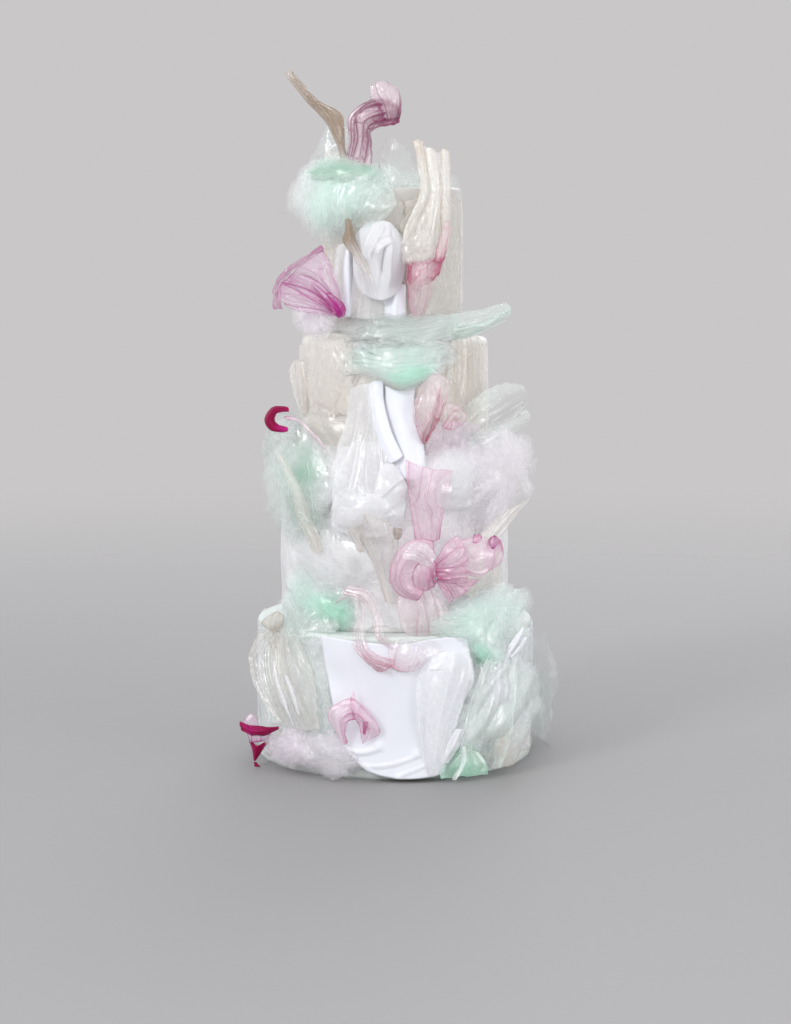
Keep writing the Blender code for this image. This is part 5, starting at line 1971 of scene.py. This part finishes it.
finish_piece(
    "cellophane_fold", "clear_film",
    lay_net(
        "flap",
        ((44, 20, 157), (48, 19, 159), (53, 20, 157)),
        ((51, 37, 155), (57, 36, 157), (64, 35, 153)),
        ((61, 53, 151), (65, 54, 152), (69, 53, 149)),
        paint="white_wafer", crush=0.05, grain=1.0, dye=0.3, fray=1.0, corner=0.02,
        folds=((0.0, 0, 0.0, 1, 2, 1.2),),
    ),
    lay_net(
        "small_leaf",
        ((83, 50, 134), (85, 51, 134), (87, 53, 132)),
        ((72, 56, 140), (78, 58, 142), (84, 60, 136)),
        ((76, 68, 138), (81, 69, 140), (86, 70, 133)),
        ((80, 81, 132), (82, 82, 132), (84, 81, 130)),
        **SMALL, crush=0.06, corner=0.03, dye=0.0,
        folds=((-0.85, 0, -0.85, 1, 2, 1.0), (0.85, 0, 0.85, 1, 1.5, 1.0)),
    ),
    lay_net(
        "leaf",
        ((88, 50, 128), (93, 51, 130), (98, 56, 130)),
        ((86, 71, 129), (99, 78, 134), (114, 80, 123)),
        ((94, 96, 125), (102, 101, 129), (111, 99, 119)),
        ((102, 112, 118), (104, 113, 119), (106, 112, 117)),
        paint="white_wafer", crush=0.08, long_folds=4.0, grain=1.0, dye=0.5, corner=0.02, fray=0.8,
        folds=((-0.5, 0, -0.2, 1, 2, 1.2), (0.2, 0, 0.1, 1, 2, 1.2), (0.9, 0, 0.9, 1, 1.5, 1.0),
               (-0.9, 0, -0.9, 1, 1.5, 1.0)),
    ),
    # Painted highlights: two narrow white strips laid along the folds where the cellophane shows long bright
    # streaks.
    lay_net(
        "streak_long",
        ((105, 94, 121), (107, 94, 123), (109, 95, 121)),
        ((109, 118, 117), (112, 118, 119), (114, 117, 117)),
        ((117, 133, 111), (120, 132, 113), (122, 130, 111)),
        ((127, 148, 104), (129, 147, 105), (131, 145, 104)),
        paint="white_wafer", **FINE, crush=0.05, corner=0.02, dye=0.8, folds=((0, 0, 0, 1, 2, 1.2),),
    ),
    lay_net(
        "streak_short",
        ((114, 118, 114), (116, 118, 116), (118, 117, 114)),
        ((122, 127, 110), (124, 126, 112), (126, 125, 110)),
        ((131, 138, 104), (132, 137, 105), (133, 136, 104)),
        paint="white_wafer", **FINE, crush=0.05, corner=0.02, dye=0.8, folds=((0, 0, 0, 1, 2, 1.2),),
    ),
    lay_net(
        "vein_low",
        ((56, 5, 158), (59, 4, 159), (62, 5, 158)),
        ((65, 20, 154), (67, 20, 156), (69, 20, 154)),
        ((66, 36, 151), (68, 36, 153), (70, 36, 151)),
        **FINE, crush=0.05, corner=0.02, dye=0.0, folds=((0, 0, 0, 1, 2, 1.2),),
    ),
)
finish_piece(
    "cream_sheet_left", "cream_wafer",
    lay_net(
        "sheet_back",
        ((-118, 54, 98), (-98, 46, 119), (-72, 48, 131)),
        ((-138, 80, 78), (-112, 78, 112), (-76, 80, 130)),
        ((-146, 110, 62), (-118, 110, 102), (-84, 108, 124)),
        ((-134, 134, 68), (-116, 135, 93), (-96, 136, 110)),
        ((-122, 144, 78), (-112, 144, 90), (-100, 143, 100)),
        crush=0.10, long_folds=4.0, corner=0.02, grain=0.9, dye=(0.2, 0.1, 0.1, 0.1, 0.3), thin=0.6,
        folds=(
            (-0.95, 0, -0.95, 1, 3, 1.4), (-0.74, 0, -0.66, 0.95, 4, 1.3), (-0.52, 0.05, -0.5, 0.9, 3, 1.1),
            (-0.3, 0.05, -0.38, 0.78, 4, 1.3), (-0.04, 0.1, -0.16, 0.66, 3, 1.1),
            (0.22, 0.05, 0.0, 0.6, 3, 1.1), (0.5, 0.1, 0.3, 0.8, 2, 1.4),
        ),
    ),
    # Painted highlights: three narrow white strips laid along the sheet's folds where they catch the light.
    lay_net(
        "sheet_glint_outer",
        ((-120, 58, 104), (-119, 58, 106), (-118, 58, 105)),
        ((-133, 84, 90), (-131, 84, 94), (-129, 84, 92)),
        ((-138, 108, 82), (-136, 108, 86), (-134, 108, 85)),
        ((-130, 130, 82), (-129, 130, 85), (-128, 130, 84)),
        paint="white_wafer", **FINE, crush=0.0, corner=0.02, dye=0.6, thin=0.4,
    ),
    lay_net(
        "sheet_glint_middle",
        ((-103, 52, 120), (-102, 52, 122), (-101, 52, 121)),
        ((-114, 76, 113), (-112, 76, 116), (-110, 76, 115)),
        ((-121, 98, 106), (-119, 98, 109), (-117, 98, 108)),
        ((-122, 112, 100), (-121, 112, 102), (-120, 112, 101)),
        paint="white_wafer", **FINE, crush=0.0, corner=0.02, dye=0.8, thin=0.2,
    ),
    lay_net(
        "sheet_glint_inner",
        ((-96, 62, 124), (-95, 62, 126), (-94, 62, 125)),
        ((-104, 82, 118), (-102, 82, 121), (-100, 82, 120)),
        ((-110, 100, 112), (-109, 100, 114), (-108, 100, 113)),
        paint="white_wafer", **FINE, crush=0.0, corner=0.02, dye=0.8, thin=0.2,
    ),
)
finish_piece(
    "taupe_tip_left", "taupe_wafer",
    lay_net(
        "tip_arrow",
        ((-127, 140, 82), (-120, 137, 86), (-113, 143, 86)),
        ((-134, 148, 80), (-122, 148, 86), (-112, 150, 86)),
        ((-124, 157, 80), (-118, 160, 83), (-113, 157, 84)),
        **SMALL, crush=0.10, corner=0.02, dye=0.5, thin=0.3,
    ),
    lay_net(
        "tip_foot",
        ((-119, 116, 96), (-114, 115, 98), (-108, 117, 98)),
        ((-126, 129, 90), (-118, 129, 94), (-110, 132, 95)),
        ((-121, 139, 86), (-117, 140, 88), (-113, 139, 90)),
        **SMALL, crush=0.10, corner=0.02, dye=0.4, thin=0.4,
    ),
)
dress_net(
    "mint_sheet_left", "mint_wafer",
    ((-128, 44, 72), (-96, 42, 109), (-58, 44, 133)),
    ((-132, 92, 64), (-98, 92, 108), (-64, 92, 131)),
    ((-128, 140, 66), (-98, 141, 106), (-70, 140, 127)),
    crush=0.16, sizes=(40.0, 18.0, 8.0), corner=0.02, dye=0.08,
)
finish_piece(
    "rose_scrap", "rose_wafer",
    lay_net(
        "scrap_left",
        ((-51, 38, 152), (-49, 38, 153), (-46, 40, 154)),
        ((-58, 51, 154), (-53, 50, 157), (-48, 50, 157)),
        ((-67, 69, 152), (-58, 66, 159), (-47, 59, 159)),
        ((-57, 80, 153), (-50, 74, 160), (-43, 63, 160)),
        ((-42, 87, 156), (-40, 76, 160), (-38, 65, 160)),
        **FINE, crush=0.16, corner=0.01, long_folds=2.0, dye=(0.5, 0.35, 0.2, 0.3, 0.5),
        dye_across=(0.6, 0.8, 1.3),
        folds=((0.85, 0, 0.85, 1, *VEIN), (0.1, 0.1, 0.5, 0.9, 2, 1.0), (-0.9, 0.1, -0.9, 0.9, *VEIN)),
    ),
    lay_net(
        "scrap_right",
        ((-44, 84, 157), (-42, 74, 161), (-41, 62, 160)),
        ((-38, 84, 158), (-38, 74, 162), (-38, 64, 160)),
        ((-26, 73, 158), (-30, 66, 162), (-35, 60, 160)),
        ((-13, 53, 153), (-23, 52, 160), (-32, 50, 158)),
        ((-30, 39, 152), (-31, 39, 153), (-32, 40, 153)),
        **FINE, crush=0.18, corner=0.01, dye=(0.6, 0.4, 0.35, 0.25, 0.2), dye_across=(0.7, 0.9, 1.2),
        folds=((0.85, 0.2, 0.85, 1, *VEIN), (0.2, 0.0, 0.3, 0.6, 2, 1.0), (-0.9, 0.1, -0.9, 1, *VEIN)),
    ),
    lay_net(
        "scrap_spike",
        ((-45, 82, 156), (-42, 80, 158), (-38, 82, 157)),
        ((-42, 88, 154), (-41, 88, 155), (-39, 88, 154)),
        ((-41, 93, 152), (-40, 93, 152), (-40, 93, 152)),
        **FINE, crush=0.05, corner=0.02, dye=0.3,
    ),
    lay_net(
        "scrap_blot",
        ((-32, 52, 160), (-29, 50, 162), (-26, 53, 160)),
        ((-31, 58, 161), (-29, 58, 163), (-26, 59, 161)),
        ((-30, 63, 161), (-29, 64, 162), (-27, 63, 161)),
        **FINE, crush=0.3, dye=1.0,
    ),
)
finish_piece(
    "magenta_scrap_board", "magenta_wafer",
    lay_net(
        "scrap_bar",
        ((-155, 36, 84), (-156, 41, 85), (-157, 46, 82)),
        ((-145, 33, 88), (-146, 38, 94), (-147, 43, 88)),
        ((-132, 34, 90), (-132, 38, 96), (-132, 42, 90)),
        ((-117, 40, 90), (-117, 41, 91), (-117, 43, 90)),
        **FINE, crush=0.16, corner=0.01, dye=(0.9, 0.7, 0.9, 1.0), folds=((0.0, 0, 0.1, 1, 1.5, 1.0),),
    ),
    lay_net(
        "scrap_pale",
        ((-155, 44, 82), (-147, 43, 85), (-137, 42, 86)),
        ((-152, 49, 82), (-146, 49, 84), (-140, 48, 84)),
        ((-147, 54, 82), (-145, 55, 82), (-142, 53, 82)),
        paint="orchid_wafer", **FINE, crush=0.10, corner=0.02, dye=0.15,
    ),
    lay_net(
        "scrap_pink",
        ((-148, 24, 83), (-138, 26, 88), (-127, 27, 85)),
        ((-149, 30, 83), (-138, 31, 89), (-126, 32, 86)),
        ((-151, 37, 82), (-138, 36, 88), (-124, 37, 87)),
        paint="orchid_wafer", **FINE, crush=0.14, corner=0.02, dye=(0.8, 0.3, 0.6),
        folds=((-0.5, 0, -0.5, 1, 1.5, 0.9), (0.3, 0, 0.2, 1, 1.5, 0.9)),
    ),
    lay_net(
        "scrap_point",
        ((-143, 7, 87), (-142, 6, 88), (-140, 8, 87)),
        ((-145, 17, 86), (-139, 18, 92), (-132, 20, 88)),
        ((-148, 25, 84), (-138, 25, 93), (-127, 27, 87)),
        **FINE, crush=0.14, corner=0.01, dye=1.0,
    ),
    lay_net(
        "scrap_drop",
        ((-143, 1, 88), (-140, 1, 90), (-136, 1, 89)),
        ((-143, 3, 88), (-141, 3, 90), (-138, 3, 89)),
        ((-143, 5, 88), (-142, 6, 89), (-140, 5, 88)),
        **FINE, crush=0.10, corner=0.05, dye=1.0,
    ),
)
heap_net(
    "lilac_puff_left", "lilac_tulle", 15,
    ((-134, 4, 84), (-106, 3, 114), (-72, 4, 136)),
    ((-140, 22, 78), (-106, 24, 113), (-72, 24, 136)),
    ((-124, 44, 82), (-100, 50, 107), (-76, 44, 124)),
    layers=4, crush=0.16, sizes=(18.0, 8.0, 4.0), dyed=((-0.2, 0, 1, 0.6),), grain=1.4,
)
heap_net(
    "white_puff_left", "lilac_tulle", 14,
    ((-96, 4, 122), (-64, 3, 143), (-38, 4, 150)),
    ((-98, 24, 118), (-64, 26, 143), (-34, 24, 150)),
    ((-88, 46, 116), (-64, 50, 133), (-42, 44, 141)),
    layers=4, crush=0.16, sizes=(18.0, 8.0, 4.0), dyed=((0, 0, 1, 0.1),), grain=1.4,
)
print("bottom tier dressed")

# %% [markdown]
# ## The back
#
# A cake like this is dressed all round, more thinly behind. The same kinds of pieces repeat
# there in other places and proportions.

# %% Back
heap("back_mint_film", "mint_wafer", 4, (172, 136, 15), (40, 44, 20), layers=5, dyed=((0, 0, 0.9, 0.15),))
dress(
    "back_cream_sail", "cream_wafer", 4,
    ((240, 62, 4), (240, 104, 14), (236, 150, 16), (232, 192, 12)),
    (34, 44, 36, 36), roll=50, pleats=2, depth=3, crush=0.10, long_folds=4.0, fray=3.0, dye=0.3,
)
dress(
    "back_white_drape", "white_fondant", 3,
    ((186, 138, 5), (186, 96, 7), (184, 50, 11), (183, 14, 15)),
    (56, 74, 92, 104), ICING, roll=(32, 41, 49, 53), pleats=3, depth=(1, 2, 3, 3.5), crush=0.0,
    soft=0.9, dye=0,
)
dress(
    "back_pink_petal", "rose_wafer", 3,
    ((136, 2, 12), (136, 46, 20), (138, 92, 28), (140, 134, 24)),
    (14, 32, 46, 30), roll=100, crush=0.10, long_folds=3.0, fray=3.0, dye=(0.8, 0.4, 0.3, 0.6),
)
heap("back_sage_puff", "sage_wafer", 3, (246, 20, 22), (35, 46, 22), layers=4, dyed=((0, 0, 0.9, 0.4),))
heap("back_sheer_puff", "clear_film", 2, (156, 90, 15), (48, 52, 20), layers=4, dyed=((0, 0, 1, 0.15),))
dress(
    "back_white_panel", "white_fondant", 1,
    ((200, 4.5, 8), (200, 34, 5.5), (200, 90, 4), (200, 145, 3.5)),
    (108, 116, 132, 142), ICING, roll=(42, 45, 51, 55), pleats=3, depth=(3, 1, 0.4, 0.3), crush=0.0,
    soft=0.6, dye=0,
)
heap(
    "back_mint_cellophane", "mint_wafer", 1, (120, 62, 14), (40, 62, 16), layers=3,
    dyed=((0.1, -0.4, 0.6, 0.5),),
    thin=0.5, ragged=0.5,
)
print("back dressed")

# %% [markdown]
# ## Done

# %% Finish
bpy.context.view_layer.update()
